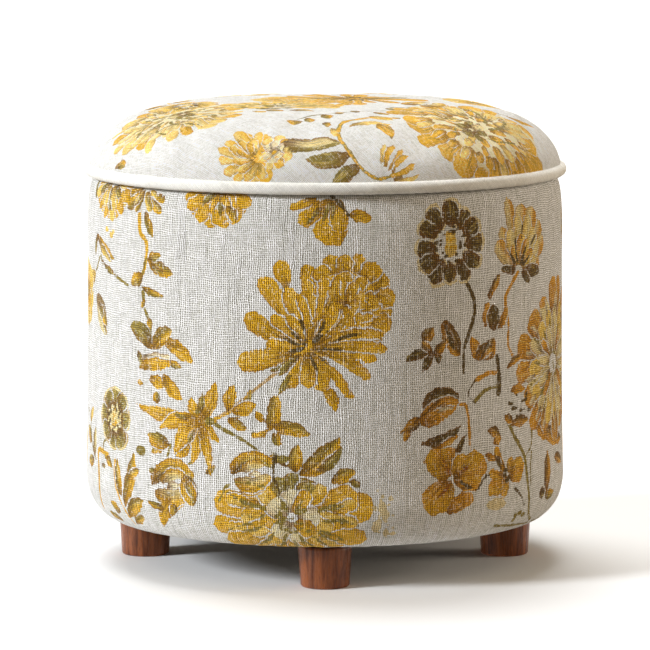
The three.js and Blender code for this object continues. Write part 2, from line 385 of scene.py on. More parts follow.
class Print:
    """A floral print over points of flat cloth, in mm."""

    def __init__(self, along, up, seed, unroll=None):
        self.unroll = unroll
        self.along = np.ravel(along)
        self.up = np.ravel(up)
        count = self.along.size
        self.random = np.random.default_rng(seed)
        self.shapes = np.tile(np.array([FAR, FAR, 0], float), (LAYERS, count, 1))
        self.inks = np.zeros((LAYERS, count, 4))
        self.place(0, 0)

    def place(self, along, up, scale=(1, 1), turn=0):
        """Sets where the next motifs are drawn."""
        self.origin = np.array([along, up], float)
        self.scale = np.array(scale, float)
        cos, sin = math.cos(turn), math.sin(turn)
        self.turn = np.array([[cos, sin], [-sin, cos]])

    def jitter(self, amount):
        """A random number up to this amount, more or less."""
        return self.random.uniform(-amount, amount)

    def stroke(self, layer, line, widths, ink, other=None):
        """Draws one shape: a line of points with half a width at each; the other ink is on one side."""
        line = (np.asarray(line, float) * self.scale) @ self.turn + self.origin
        if self.unroll:
            line = self.unroll(line)
        widths = np.asarray(widths, float) * math.sqrt(abs(self.scale[0] * self.scale[1]))
        tone = 1 + self.jitter(0.09)
        reach = widths.max() + 6
        low, high = line.min(0) - reach, line.max(0) + reach
        near = (self.along > low[0]) & (self.along < high[0]) & (self.up > low[1]) & (self.up < high[1])
        near = np.flatnonzero(near)
        if near.size == 0:
            return
        point = np.column_stack([self.along[near], self.up[near]])
        start, step = line[:-1], np.diff(line, axis=0)
        size = (step**2).sum(1)
        share = ((point[:, None] - start) * step).sum(2) / np.maximum(size, 1e-9)
        share = np.clip(share, 0, 1)
        away = point[:, None] - (start + share[..., None] * step)
        distance = np.hypot(away[..., 0], away[..., 1])
        best = distance.argmin(1)
        row = np.arange(near.size)
        far = lengths(line)
        along = (far[best] + share[row, best] * np.sqrt(size[best])) / far[-1]
        side = step[best, 0] * away[row, best, 1] - step[best, 1] * away[row, best, 0]
        beside = np.where(side < 0, -1, 1) * distance[row, best]
        outside = distance[row, best] - np.interp(along, np.linspace(0, 1, len(widths)), widths)
        closer = outside < self.shapes[layer, near, 0]
        into = near[closer]
        self.shapes[layer, into] = np.column_stack([outside, beside, along])[closer]
        colour = np.tile(np.array(ink) * [tone, tone, tone, 1], (into.size, 1))
        if other is not None:
            half = np.maximum(np.abs(beside) - outside, 0.6)
            share = np.clip(0.4 + beside / half + 0.5 * (along - 0.5), 0, 1)[closer, None]
            colour = colour * (1 - share) + np.array(other) * share
        self.inks[layer, into] = colour

    def petal(self, layer, base, tip, width, ink, form, bend=0.0, other=None):
        """A petal or leaf from base to tip, bent to its left by a share of its length."""
        base, tip = np.asarray(base, float), np.asarray(tip, float)
        share = np.linspace(0, 1, 15)
        reach = tip - base
        middle = (base + tip) / 2 + bend * np.array([-reach[1], reach[0]])
        line = ((1 - share) ** 2)[:, None] * base + (2 * share * (1 - share))[:, None] * middle
        line += (share**2)[:, None] * tip
        grow, fade = form
        peak = grow / (grow + fade)
        widths = share**grow * (1 - share) ** fade / (peak**grow * (1 - peak) ** fade)
        self.stroke(layer, line, widths * width / 2, ink, other)

    def ray(self, layer, angle, near, far, width, ink, form, bend=0.0, other=None, center=(0, 0)):
        """A petal that points away from a center."""
        heading = np.array([math.cos(math.radians(angle)), math.sin(math.radians(angle))])
        self.petal(layer, center + heading * near, center + heading * far, width, ink, form, bend, other)

    def fan(self, layer, petals, ink, form=TONGUE, other=None):
        """Petals from one root, in two layers by turns: (angle, near, far, width) and maybe a bend."""
        for i, row in enumerate(petals):
            angle, near, far, width, bend = (*row, BEND)[:5]
            angle += self.jitter(3)
            far = near + (far - near) * (1 + self.jitter(0.1))
            width *= 1 + self.jitter(0.2)
            self.ray(layer + i % 2, angle, near, far, width, ink, form, bend + self.jitter(0.05), other)

    def blobs(self, layer, petals, ink, other):
        """Fat lobes from one root that run into each other, given like a fan's petals."""
        for row in petals:
            angle, near, far, width, bend = (*row, BEND)[:5]
            self.ray(layer, angle, near, far, width, ink, LOBE, bend, other)

    def ring(self, layer, count, near, far, width, ink, form=LOBE, first=0.0, span=360.0, other=None,
             center=(0, 0)):
        """Petals round a center in two layers by turns."""
        for i in range(count):
            angle = first + span * i / count + self.jitter(0.14 * 360 / count)
            reach = far * (1 + self.jitter(0.09))
            tone = other if other is not None and i % 3 == 1 else ink
            broad = width * (1 + self.jitter(0.22))
            self.ray(layer + i % 2, angle, near, reach, broad, tone, form, self.jitter(0.12), center=center)

    def stem(self, points, width, ink, layer=STEMS):
        """A thin line drawn smoothly through a few points."""
        points = np.asarray(points, float)
        padded = np.vstack([2 * points[0] - points[1], points, 2 * points[-1] - points[-2]])
        line = []
        for before, start, end, after in zip(padded, padded[1:], padded[2:], padded[3:]):
            for t in np.linspace(0, 1, 9)[:-1]:
                bow = 2 * start + (end - before) * t
                bow = bow + (2 * before - 5 * start + 4 * end - after) * t**2
                line.append((bow + (3 * start - before - 3 * end + after) * t**3) / 2)
        line.append(points[-1])
        share = np.linspace(0, 1, 12)
        self.stroke(layer, line, width / 2 * (1 - 0.35 * share), plain(ink))

    def dot(self, place, size, ink=DARK_OLIVE):
        """A spot, a third longer than it is high."""
        place = np.asarray(place, float)
        self.stroke(DOTS, [place - (size / 6, 0), place + (size / 6, 0)], [size / 2, size / 2], plain(ink))

    def specks(self, low, high, count, size, ink):
        """Small dots strewn between two corners."""
        for _ in range(count):
            spot = [self.random.uniform(low[0], high[0]), self.random.uniform(low[1], high[1])]
            self.dot(spot, size * (1 + self.jitter(0.3)), ink)

    def chrysanthemum(self, ink=MUSTARD, tip_ink=None):
        """A full head from the side: scales round a heart, and long petals from a root low on its left."""
        tip_ink = tip_ink or ink
        heart = (33, 38)
        self.petal(STEMS, (-14, -6), (30, 30), 40, plain(ink), LOBE)
        self.ring(1, 11, 24, 42, 15, tip_ink, LOBE, -52, 225, center=heart)
        self.fan(1, [
            (107, 52, 76, 16, 0.0), (124, 16, 74, 14, -0.12), (151, 12, 66, 14), (191, 8, 62, 19, 0.05),
            (92, 46, 72, 13, -0.1), (172, 4, 36, 11), (240, 2, 34, 12),
        ], ink)
        self.fan(3, [
            (110, 4, 60, 16, -0.12), (334, 2, 64, 10, 0.16), (92, 6, 62, 14, -0.18), (348, 2, 66, 11, 0.14),
            (291, 2, 42, 13, 0.08), (270, 2, 33, 13, 0.0), (310, 2, 50, 11, 0.12), (138, 2, 46, 11, -0.1),
        ], ink)
        self.fan(1, [(292, 34, 60, 12), (310, 38, 60, 11, 0.05)], ink, LEAF)
        self.ring(3, 11, 12, 29, 13, ink, LOBE, -64, 262, center=heart)
        self.fan(5, [
            (359, 2, 66, 9, 0.14), (10, 4, 66, 9, 0.16), (76, 4, 58, 11, -0.24), (60, 4, 46, 10, -0.2),
            (20, 4, 50, 8, 0.16), (124, 2, 34, 9, -0.1), (98, 2, 42, 9, -0.2),
        ], ink)
        self.ring(5, 9, 3, 19, 9, tip_ink, LOBE, 30, 320, center=heart)
        self.fan(5, [
            (36, 16, 62, 8, 0.22), (48, 12, 60, 8, -0.2), (26, 30, 66, 7, 0.2), (66, 26, 66, 8, -0.16),
        ], ink)
        self.ring(CENTRES, 5, 1, 9, 5, plain(tip_ink, 0.9), LOBE, 60, center=heart)
        self.fan(1, [(212, 8, 44, 8), (228, 6, 36, 7, -0.1), (236, 20, 46, 7)], OLIVE, LEAF)
        self.fan(CENTRES, [
            (128, 2, 26, 3.4), (156, 2, 24, 3.4, 0), (30, 4, 40, 3, 0.16), (352, 4, 40, 3, 0.14),
            (62, 4, 36, 3, -0.16), (296, 2, 24, 3.4, 0), (104, 4, 32, 3, -0.1), (190, 2, 20, 3.4, 0),
            (320, 4, 30, 3), (14, 20, 58, 2.6, 0.14),
        ], plain(DARK_OLIVE), POINTED)

    def daisy(self, radius, count, ink, edge_ink, centre_ink, stretch=1.0):
        """An open flower with fat separate petals round a dotted ring and an oval eye."""
        for i in range(count):
            angle = 360 * i / count + self.jitter(7)
            far = radius * (1 + self.jitter(0.1)) * (1 + (stretch - 1) * abs(math.sin(math.radians(angle))))
            width = 2 * math.pi * radius / count * (0.8 + self.jitter(0.14))
            self.ray(1 + i % 2, angle, radius * 0.42, far + 2, width * 1.08 + 2, edge_ink, LOBE)
            self.ray(3 + i % 2, angle + self.jitter(6), radius * 0.44, far * 0.98, width * 1.08, ink, LOBE)
        for i in range(2 * count):
            angle = math.radians(180 * (i + 0.5) / count + self.jitter(8))
            place = np.array([math.cos(angle), math.sin(angle) * stretch]) * radius
            self.dot(place * (0.31 + 0.13 * (i % 2)), 3.1 + self.jitter(0.6))
        eye = radius * 0.17
        self.stroke(CENTRES, [(0, -eye * stretch), (0, eye * stretch)], [eye, eye], plain(centre_ink, 0.2))
        for i in range(15):
            column, row = i % 3 - 1 + self.jitter(0.3), i // 3 - 2 + self.jitter(0.4)
            self.dot((eye * column * 0.7, eye * stretch * row * 0.75), 1.9 + self.jitter(0.3), MUSTARD)

    def lobed(self, count, radius, ink, inner_ink, center_ink, first=0.0):
        """A blossom of a few fat lobes."""
        self.ring(1, count, radius * 0.14, radius, radius * 0.92, ink, LOBE, first)
        self.ring(3, count - 1, radius * 0.1, radius * 0.6, radius * 0.45, inner_ink, LOBE, first + 30)
        eye = radius * 0.2
        self.specks((-eye, -eye), (eye, eye), 5, radius * 0.12, center_ink)

    def peony(self, ink=MUSTARD, under=OLIVE):
        """A wide open bloom, 140 across: broad lobes to both sides of a pale, speckled heart."""
        self.fan(1, [
            (150, 18, 54, 22), (170, 24, 72, 24, -0.06), (190, 24, 75, 23, 0.08), (210, 20, 64, 22, -0.1),
            (232, 14, 52, 20), (256, 12, 46, 19, 0.0), (278, 12, 46, 19), (300, 12, 48, 19, -0.1),
            (322, 16, 58, 21), (344, 22, 68, 23, -0.08), (4, 24, 68, 24, 0.06), (24, 20, 56, 22, -0.1),
        ], ink, LOBE, GOLD)
        self.fan(3, [
            (178, 12, 44, 18, 0.14), (204, 10, 40, 17, -0.14), (232, 8, 36, 15), (335, 10, 38, 17, 0.14),
            (0, 12, 42, 18, -0.14), (306, 8, 36, 15), (140, 10, 36, 15, -0.1), (40, 10, 38, 16),
            (192, 34, 58, 11, 0.2), (170, 34, 60, 10, -0.2), (350, 32, 58, 11, 0.2), (12, 32, 56, 10, -0.2),
            (222, 26, 46, 10, 0.2), (320, 26, 50, 10, -0.2), (268, 20, 40, 10),
        ], ink, LOBE, YELLOW)
        for angle in (160, 181, 200, 221, 244, 267, 289, 311, 333, 354, 14):
            line_far = 50 + self.jitter(6)
            self.ray(CENTRES, angle + self.jitter(4), 22, line_far, 3, plain(under), POINTED, 0.16)
        self.fan(3, [(112, 12, 36, 15, 0.12), (66, 12, 36, 16, -0.12), (90, 14, 38, 16, 0.0)], under, LOBE)
        self.ring(5, 8, 4, 25, 15, PALE, LOBE, 10, 360, other=ink)
        self.fan(CENTRES, [
            (160, 26, 62, 3, 0.2), (196, 24, 64, 3, -0.2), (220, 20, 50, 3, 0.2), (330, 22, 54, 3, -0.2),
            (350, 26, 60, 3, 0.2), (15, 24, 52, 3, -0.2), (250, 16, 38, 3), (290, 16, 38, 3, -0.1),
            (120, 4, 22, 4), (60, 4, 20, 4, -0.1), (30, 4, 18, 4), (200, 4, 18, 4),
        ], plain(under), POINTED)
        self.specks((-15, -15), (17, 9), 22, 3.4, under)

    def swirled(self, ink=GOLD, edge_ink=MUSTARD, full=1.0):
        """A wide bloom, 135 across: a full edge, rows of flecks on a pale ground, and olive curls."""
        self.ring(STEMS, 9, 0, 60, 44 * full**2, plain(PALE))
        self.ring(1, 21, 38, 68, 19 * full, ink, LOBE, 8, 360, edge_ink)
        flecks = ((38, 53, 21, 7.5, 3), (25, 41, 15, 8, 5), (12, 29, 10, 8, 3))
        for near, far, count, width, layer in flecks:
            self.ring(layer, count, near, far, width * full, ink, LOBE, near, 360, STRAW)
        for angle in range(20, 160, 14):
            self.ray(5, angle + self.jitter(5), 22, 56 + self.jitter(6), 9, CREAM, LOBE, 0.1, STRAW)
        curls = ((20, 12, 52), (62, 16, 56), (96, 14, 50), (140, 10, 44), (200, 12, 34), (320, 14, 36))
        for start, near, far in curls:
            turn = np.radians(start + np.linspace(0, 46, 8))
            reach = np.linspace(near, far, 8)
            self.stem(np.column_stack([np.cos(turn) * reach, np.sin(turn) * reach]), 3, OLIVE, CENTRES)
        self.ring(CENTRES, 7, 2, 15, 8, OLIVE, LOBE, 0, 360, CREAM, center=(-4, -6))
        self.specks((-18, -20), (8, 8), 16, 2.6, DARK_OLIVE)

    def lily(self, petals):
        """Long pointed petals from one point: (angle, length, width) and maybe a bend for each."""
        self.fan(3, [(angle, 0, *others) for angle, *others in petals], MUSTARD, POINTED)

    def curl(self, size, ink=MUSTARD, layer=3):
        """A half-open bud: bowed petals folded round each other."""
        for above, *ends, width, tone, bend, other in (
            (0, -0.5, -0.1, 0.5, 0.1, 0.34, OLIVE, 0.5, ink),
            (1, -0.42, -0.2, 0.4, -0.05, 0.34, ink, -0.42, CREAM),
            (2, -0.24, -0.05, 0.3, 0.1, 0.22, CREAM, 0.4, ink),
            (2, -0.1, -0.12, 0.2, -0.06, 0.12, PALE, 0.2, None),
            (0, -0.3, -0.42, 0.3, -0.34, 0.18, ink, -0.2, None),
        ):
            base, tip = size * np.reshape(ends, (2, 2))
            self.petal(layer + above, base, tip, width * size, tone, BUD, bend, other)

    def leaves(self, first_layer, rows):
        """Leaves in two layers by turns: two ends' places, a width, an ink and maybe a bend for each."""
        for i, row in enumerate(rows):
            *ends, width, ink, bend = (*row, BEND)[:7]
            other = PARTNERS.get(ink) if width > 6 and self.random.uniform() < 0.7 else None
            self.petal(first_layer + i % 2, ends[:2], ends[2:], width, ink, LEAF, bend, other)

    def twig(self, points, rows, width, ink):
        """A stem with leaves."""
        self.stem(points, width, ink)
        self.leaves(1, rows)


def side_print(p, shift):
    """One repeat of the print, REPEAT wide, on the side cloth."""

    def at(along, up, scale=(1, 1), turn=0.0):
        p.place(shift + along, up, scale, math.radians(turn))

    middle_print(p, at)
    left_print(p, at)
    right_print(p, at)
    between_print(p, at)


def middle_print(p, at):
    """The great bloom in front, the wide one at its foot, and the star flower and buds on their left."""
    at(-15, 212)
    p.chrysanthemum()
    at(0, 0)
    p.stem([(-38, 194), (-54, 181), (-72, 167), (-86, 156), (-102, 146)], 3.2, TAN)
    p.stem([(-104, 147), (-90, 152), (-80, 157)], 3, MUSTARD)
    p.leaves(1, [
        (-84, 156, -79, 179, 12, MUSTARD), (-82, 157, -58, 165, 12, MUSTARD, -0.15),
        (-72, 160, -64, 176, 7, OLIVE, -0.1), (-84, 151, -67, 142, 10, MUSTARD, -0.1),
    ])
    p.stem([(-62, 138), (-50, 141), (-44, 148)], 3, OLIVE)
    p.leaves(1, [
        (-48, 140, -43, 173, 13, MUSTARD, -0.14), (-45, 144, -12, 138, 13, MUSTARD, 0.16),
        (-52, 150, -60, 158, 7, MUSTARD), (-45, 140, -38, 128, 7, OLIVE), (-46, 142, -64, 136, 6, MUSTARD),
    ])
    p.stem([(-102, 147), (-82, 138), (-66, 130), (-50, 119)], 4, OLIVE)
    p.dot((-35, 118), 7, OLIVE)

    at(-28, 68)
    p.peony()
    at(-62, 107)
    p.curl(40, layer=5)
    at(0, 0)
    p.leaves(5, [
        (-22, 104, 12, 136, 19, MUSTARD, -0.14), (-8, 108, 14, 128, 9, OLIVE, -0.2),
        (-25, 106, -23, 130, 13, MUSTARD), (6, 98, 26, 108, 13, MUSTARD, 0.12),
        (-32, 112, -46, 124, 6, OLIVE), (20, 100, 30, 94, 6, OLIVE),
    ])
    p.stem([(-92, 80), (-84, 94), (-66, 96), (-44, 92)], 3, OLIVE, CENTRES)
    p.stem([(-42, 122), (-44, 104), (-38, 90)], 2.6, DARK_OLIVE, CENTRES)
    p.leaves(1, [(43, 52, 49, 68, 8, FADED), (52, 60, 46, 84, 8, FADED, -0.1), (54, 46, 53, 58, 5, FADED)])
    p.specks((41, 42), (60, 94), 16, 3, FADED)
    p.leaves(1, [(-88, 82, -96, 74, 7, MUSTARD), (-40, 98, -4, 94, 12, OLIVE)])

    at(-112, 146)
    p.lily([
        (171, 76, 13, 0.05), (66, 40, 16, -0.1), (112, 24, 12), (228, 44, 15, -0.22), (262, 36, 13, 0.06),
        (286, 46, 12), (320, 26, 11, 0.05), (196, 48, 13, -0.24), (8, 18, 10, 0),
    ])
    p.fan(5, [(84, 6, 26, 5), (240, 6, 26, 5, -0.1), (170, 8, 30, 4, 0.05)], OLIVE, POINTED)
    p.dot((10, 1), 7, OLIVE)
    p.dot((-2, 8), 4, OLIVE)
    at(0, 0)
    p.leaves(1, [
        (-158, 158, -160, 168, 9, OLIVE, 0.0), (-142, 124, -170, 131, 14, OLIVE, 0.14),
        (-146, 122, -166, 114, 9, OLIVE, -0.1), (-106, 102, -95, 109, 7, OLIVE),
        (-150, 152, -162, 142, 5, OLIVE), (-120, 128, -136, 114, 10, MUSTARD),
    ])
    p.dot((-178, 115), 9, OLIVE)
    p.stem([(-142, 124), (-146, 112), (-146, 102)], 3, OLIVE)
    p.stem([(-118, 112), (-128, 104), (-134, 98)], 2.6, OLIVE)
    at(-140, 92)
    p.curl(48)
    at(0, 0)
    p.leaves(5, [
        (-130, 100, -118, 72, 17, MUSTARD, 0.12), (-126, 96, -116, 78, 8, OLIVE),
        (-140, 78, -156, 49, 13, MUSTARD, -0.16), (-148, 68, -168, 72, 8, OLIVE, 0.12),
        (-158, 100, -168, 99, 5, OLIVE), (-138, 74, -142, 62, 9, MUSTARD),
    ])


def left_print(p, at):
    """The bud cluster on its vine, small flowers and sprigs, and blooms that the rim cuts."""
    at(0, 0)
    p.stem([(-182, 330), (-180, 304), (-172, 296), (-172, 280), (-178, 266), (-192, 260)], 5, MUSTARD)
    p.stem([(-171, 282), (-176, 270), (-178, 262)], 2, OLIVE, CENTRES)
    p.stem([(-176, 252), (-174, 238), (-168, 226), (-166, 206)], 4.4, OLIVE)
    p.leaves(1, [
        (-171, 282, -138, 270, 12, MUSTARD, -0.14), (-170, 281, -152, 285, 8, OLIVE),
        (-176, 268, -194, 258, 13, MUSTARD, 0.14), (-179, 257, -149, 250, 7, OLIVE, -0.1),
        (-174, 246, -178, 238, 7, MUSTARD), (-170, 230, -166, 222, 8, MUSTARD),
        (-173, 322, -162, 300, 9, OLIVE, -0.12), (-168, 278, -148, 270, 4, OLIVE, -0.1),
    ])
    p.leaves(3, [
        (-166, 203, -195, 221, 17, OLIVE, -0.3), (-163, 204, -141, 222, 16, MUSTARD, 0.2),
        (-163, 203, -186, 214, 9, MUSTARD, -0.24), (-152, 212, -117, 195, 13, MUSTARD, 0.12),
        (-146, 206, -120, 198, 6, OLIVE), (-182, 186, -140, 192, 11, MUSTARD, 0.12),
        (-180, 196, -142, 200, 10, PALE, -0.1), (-184, 202, -178, 186, 6, OLIVE),
        (-168, 178, -148, 172, 12, MUSTARD), (-152, 184, -129, 163, 13, MUSTARD, -0.12),
        (-146, 194, -130, 190, 7, OLIVE), (-176, 172, -184, 176, 6, MUSTARD),
    ])

    at(-220, 138)
    p.ring(STEMS, 6, 0, 20, 16, plain(CREAM))
    p.daisy(26, 8, OLIVE, CREAM, CREAM)
    at(0, 0)
    p.stem([(-234, 120), (-242, 112), (-238, 102), (-226, 96)], 3, OLIVE)
    p.stem([(-232, 104), (-254, 106), (-254, 92), (-252, 70), (-256, 52)], 4.6, MUSTARD)
    p.leaves(1, [(-236, 102, -224, 95, 8, MUSTARD), (-246, 94, -238, 92, 5, OLIVE)])
    p.twig([(-218, 102), (-218, 84), (-208, 64), (-200, 44)], [
        (-204, 62, -188, 112, 15, MUSTARD, -0.1), (-206, 70, -214, 104, 10, MUSTARD, 0.12),
        (-204, 64, -196, 92, 7, OLIVE, 0), (-202, 52, -174, 72, 14, MUSTARD, 0.16),
        (-196, 46, -178, 56, 10, MUSTARD), (-196, 88, -180, 98, 8, MUSTARD),
        (-214, 56, -230, 64, 10, MUSTARD), (-222, 46, -242, 52, 9, OLIVE),
    ], 3.4, MUSTARD)
    p.twig([(-198, 256), (-226, 264), (-246, 270), (-252, 276), (-266, 262), (-292, 260)], [
        (-260, 295, -220, 276, 11, OLIVE, -0.12), (-254, 290, -224, 273, 7, YELLOW, -0.1),
        (-260, 294, -266, 276, 7, OLIVE, -0.1), (-250, 274, -214, 262, 5, OLIVE, -0.1),
        (-266, 262, -300, 246, 14, YELLOW),
    ], 3, OLIVE)
    p.leaves(1, [(-264, 242, -238, 207, 22, CREAM, 0.12), (-258, 238, -236, 212, 11, MUSTARD, 0.12)])
    p.leaves(3, [(-258, 236, -244, 220, 8, OLIVE, 0.12), (-244, 218, -236, 208, 6, OLIVE)])
    p.specks((-244, 290), (-218, 302), 9, 3.4, YELLOW)
    p.twig([(-262, 96), (-276, 108), (-284, 128), (-304, 140)], [
        (-276, 110, -296, 122, 13, OLIVE), (-268, 96, -290, 92, 12, OLIVE, 0.12),
        (-266, 98, -264, 124, 11, CREAM), (-284, 126, -272, 142, 9, YELLOW),
    ], 3, OLIVE)

    at(-232, 346)
    p.ring(1, 13, 10, 36, 10, MUSTARD, TONGUE, 192, 172, YELLOW)
    p.ring(3, 9, 6, 27, 8, YELLOW, TONGUE, 198, 164, OLIVE)
    p.stem([(-36, -18), (-40, -10), (-44, 2)], 6, OLIVE)
    at(-177, 343)
    p.fan(1, [
        (198, 4, 28, 9, 0.2), (222, 4, 31, 9, 0.16), (246, 4, 26, 8), (318, 4, 31, 10, -0.2),
        (340, 4, 29, 9, -0.16),
    ], MUSTARD, TONGUE, OLIVE)
    p.fan(3, [(234, 4, 22, 6), (296, 4, 25, 7, -0.1), (328, 4, 20, 6)], YELLOW, TONGUE, OLIVE)
    at(-304, 240)
    p.lobed(7, 30, YELLOW, MUSTARD, OLIVE)
    at(-96, 345)
    p.ring(1, 10, 8, 33, 13, MUSTARD, TONGUE, 196, 160)
    p.ring(3, 7, 4, 25, 8, GOLD, POINTED, 204, 130, OLIVE, center=(2, 2))
    p.leaves(5, [(8, -14, 19, -29, 9, MUSTARD)])

    at(8, 345)
    p.fan(1, [(262, 8, 46, 25, 0.06), (222, 12, 42, 15), (240, 8, 30, 13, 0.0)], MUSTARD, LOBE)
    p.fan(3, [(280, 6, 34, 14), (204, 16, 40, 9)], MUSTARD, LOBE)
    p.fan(5, [(250, 6, 30, 4), (270, 6, 26, 3), (228, 16, 36, 4)], OLIVE, POINTED)
    p.stem([(-2, -4), (6, -12), (12, -20)], 4.4, DARK_OLIVE, CENTRES)
    p.leaves(1, [(12, -20, 32, -25, 12, MUSTARD)])


def right_print(p, at):
    """The dark daisy, the sprigged blossom, the curled bud, the amber blossoms and the large bloom."""
    at(112, 297)
    p.daisy(33, 12, DARK_OLIVE, FADED, STRAW, 1.06)
    at(0, 0)
    p.stem([(127, 266), (136, 250), (137, 236), (130, 218), (126, 206), (125, 186)], 4.2, DARK_OLIVE)

    at(193, 270)
    p.fan(1, [
        (106, 4, 68, 13, 0.05), (86, 4, 58, 18, 0.0), (122, 4, 50, 16), (66, 4, 62, 17, -0.05),
        (48, 4, 52, 17, -0.1), (140, 4, 38, 15), (30, 4, 46, 16, -0.1), (12, 4, 36, 15, -0.1),
    ], AMBER, TONGUE, CREAM)
    p.fan(3, [
        (94, 14, 50, 15, 0.0), (74, 12, 47, 15, -0.1), (112, 10, 38, 14), (54, 12, 43, 15, 0.0),
        (34, 10, 38, 14, 0.0), (16, 8, 30, 13, 0.0),
    ], CREAM, LOBE, STRAW)
    p.fan(5, [
        (86, 4, 31, 13, 0.0), (60, 4, 31, 13, -0.1), (110, 4, 25, 12), (36, 4, 27, 12, 0.0),
    ], YELLOW, LOBE, AMBER)
    p.fan(CENTRES, [
        (100, 4, 34, 3.4, 0.05), (126, 4, 26, 3.4), (62, 4, 30, 3.4, -0.1), (36, 4, 24, 3.4, -0.1),
        (80, 26, 46, 3, 0.02), (48, 26, 42, 3, 0.0),
    ], plain(DARK_OLIVE), POINTED)
    p.fan(5, [(352, 10, 35, 10, 0.0), (322, 4, 22, 8), (172, 4, 24, 8)], DARK_OLIVE, BUD)
    at(0, 0)
    p.stem([(192, 268), (182, 258), (174, 246), (178, 226), (178, 206), (188, 192)], 4, AMBER)
    p.leaves(1, [
        (153, 246, 168, 268, 8, AMBER), (150, 224, 154, 246, 8, AMBER, 0.2),
        (164, 222, 176, 240, 9, AMBER, -0.2), (106, 234, 122, 201, 17, AMBER, -0.1),
        (146, 196, 134, 216, 13, AMBER, 0.12), (146, 196, 160, 214, 16, AMBER, -0.1),
    ])
    p.leaves(3, [
        (160, 220, 160, 243, 15, DARK_OLIVE), (107, 232, 118, 206, 5, DARK_OLIVE, -0.1),
        (138, 198, 158, 206, 13, AMBER, 0.16), (144, 198, 154, 212, 4, DARK_OLIVE, 0.0),
        (86, 212, 96, 228, 11, AMBER), (98, 202, 108, 216, 9, AMBER),
        (94, 208, 69, 199, 9, DARK_OLIVE, -0.14), (94, 206, 84, 190, 8, DARK_OLIVE),
        (99, 208, 100, 195, 7, DARK_OLIVE), (94, 208, 84, 216, 8, AMBER),
    ])
    p.stem([(140, 180), (152, 184), (164, 184)], 4.6, AMBER)
    p.stem([(165, 166), (166, 182), (163, 198)], 6, DARK_OLIVE)
    p.stem([(138, 162), (150, 170), (168, 172)], 4, OLIVE)
    p.stem([(138, 180), (130, 168), (138, 160)], 2.6, DARK_OLIVE)

    at(100, 160, (1, 1), 4)
    p.petal(3, (-15, -4), (22, 2), 12, DARK_OLIVE, BUD, 0.62)
    p.petal(4, (-18, -14), (18, -2), 20, AMBER, BUD, 0.16)
    p.petal(5, (-10, -4), (22, 0), 8, AMBER, BUD, 0.3)
    p.petal(6, (-4, -6), (14, -4), 4, PALE, BUD, 0.3)
    at(0, 0)
    p.leaves(1, [
        (84, 152, 65, 139, 10, AMBER), (72, 142, 68, 132, 6, AMBER),
        (82, 129, 124, 143, 9, DARK_OLIVE, -0.2), (96, 124, 120, 134, 6, AMBER, -0.1),
        (118, 116, 128, 134, 5, DARK_OLIVE), (152, 136, 166, 128, 10, AMBER),
        (148, 116, 166, 108, 7, AMBER, -0.1), (160, 112, 168, 100, 6, DARK_OLIVE),
    ])
    p.stem([(122, 160), (128, 158), (131, 140), (132, 108)], 3.4, AMBER)
    at(114, 96)
    p.blobs(1, [
        (128, 4, 34, 24), (104, 6, 30, 18), (218, 2, 36, 26), (240, 4, 30, 18, 0.0),
    ], AMBER, MUSTARD)
    p.blobs(2, [(28, 2, 37, 27, -0.1), (350, 0, 30, 20), (60, 2, 24, 15, 0.0)], AMBER, MUSTARD)
    p.stem([(8, -2), (16, -8), (26, -10), (33, -2), (40, 0)], 3.4, DARK_OLIVE, CENTRES)
    p.fan(CENTRES, [(120, 2, 22, 3), (224, 4, 24, 3), (30, 4, 24, 3)], plain(SHADE), POINTED)
    p.petal(1, (-8, -26), (20, -13), 15, AMBER, LOBE, -0.1)
    at(176, 92)
    p.blobs(1, [(194, 0, 25, 15, 0.3), (160, 4, 24, 9, 0.2), (118, 6, 32, 8), (246, 2, 17, 9)], AMBER, GOLD)
    p.blobs(2, [(22, 2, 25, 17), (350, 2, 20, 11), (70, 4, 18, 8)], AMBER, GOLD)
    p.specks((-8, -4), (6, 8), 7, 3, DARK_OLIVE)
    at(0, 0)
    p.leaves(1, [(150, 70, 176, 68, 11, FADED), (158, 122, 168, 128, 9, AMBER)])

    p.stem([(176, 142), (186, 126), (200, 108), (204, 90), (207, 74), (214, 56), (228, 44)], 4.4, OLIVE)
    p.stem([(213, 134), (212, 116), (203, 108)], 3, OLIVE)
    p.stem([(186, 81), (194, 74), (202, 64)], 3, DARK_OLIVE)
    p.stem([(212, 110), (210, 92), (211, 78)], 2, OLIVE)
    p.stem([(168, 48), (196, 44), (226, 41), (262, 40)], 3.4, OLIVE)
    p.specks((178, 143), (216, 163), 15, 3.2, DARK_OLIVE)
    p.specks((188, 50), (206, 58), 5, 4, OLIVE)
    p.leaves(1, [
        (180, 136, 207, 139, 10, AMBER), (172, 146, 184, 138, 7, AMBER), (176, 186, 200, 196, 7, AMBER),
        (180, 166, 202, 166, 9, AMBER),
    ])

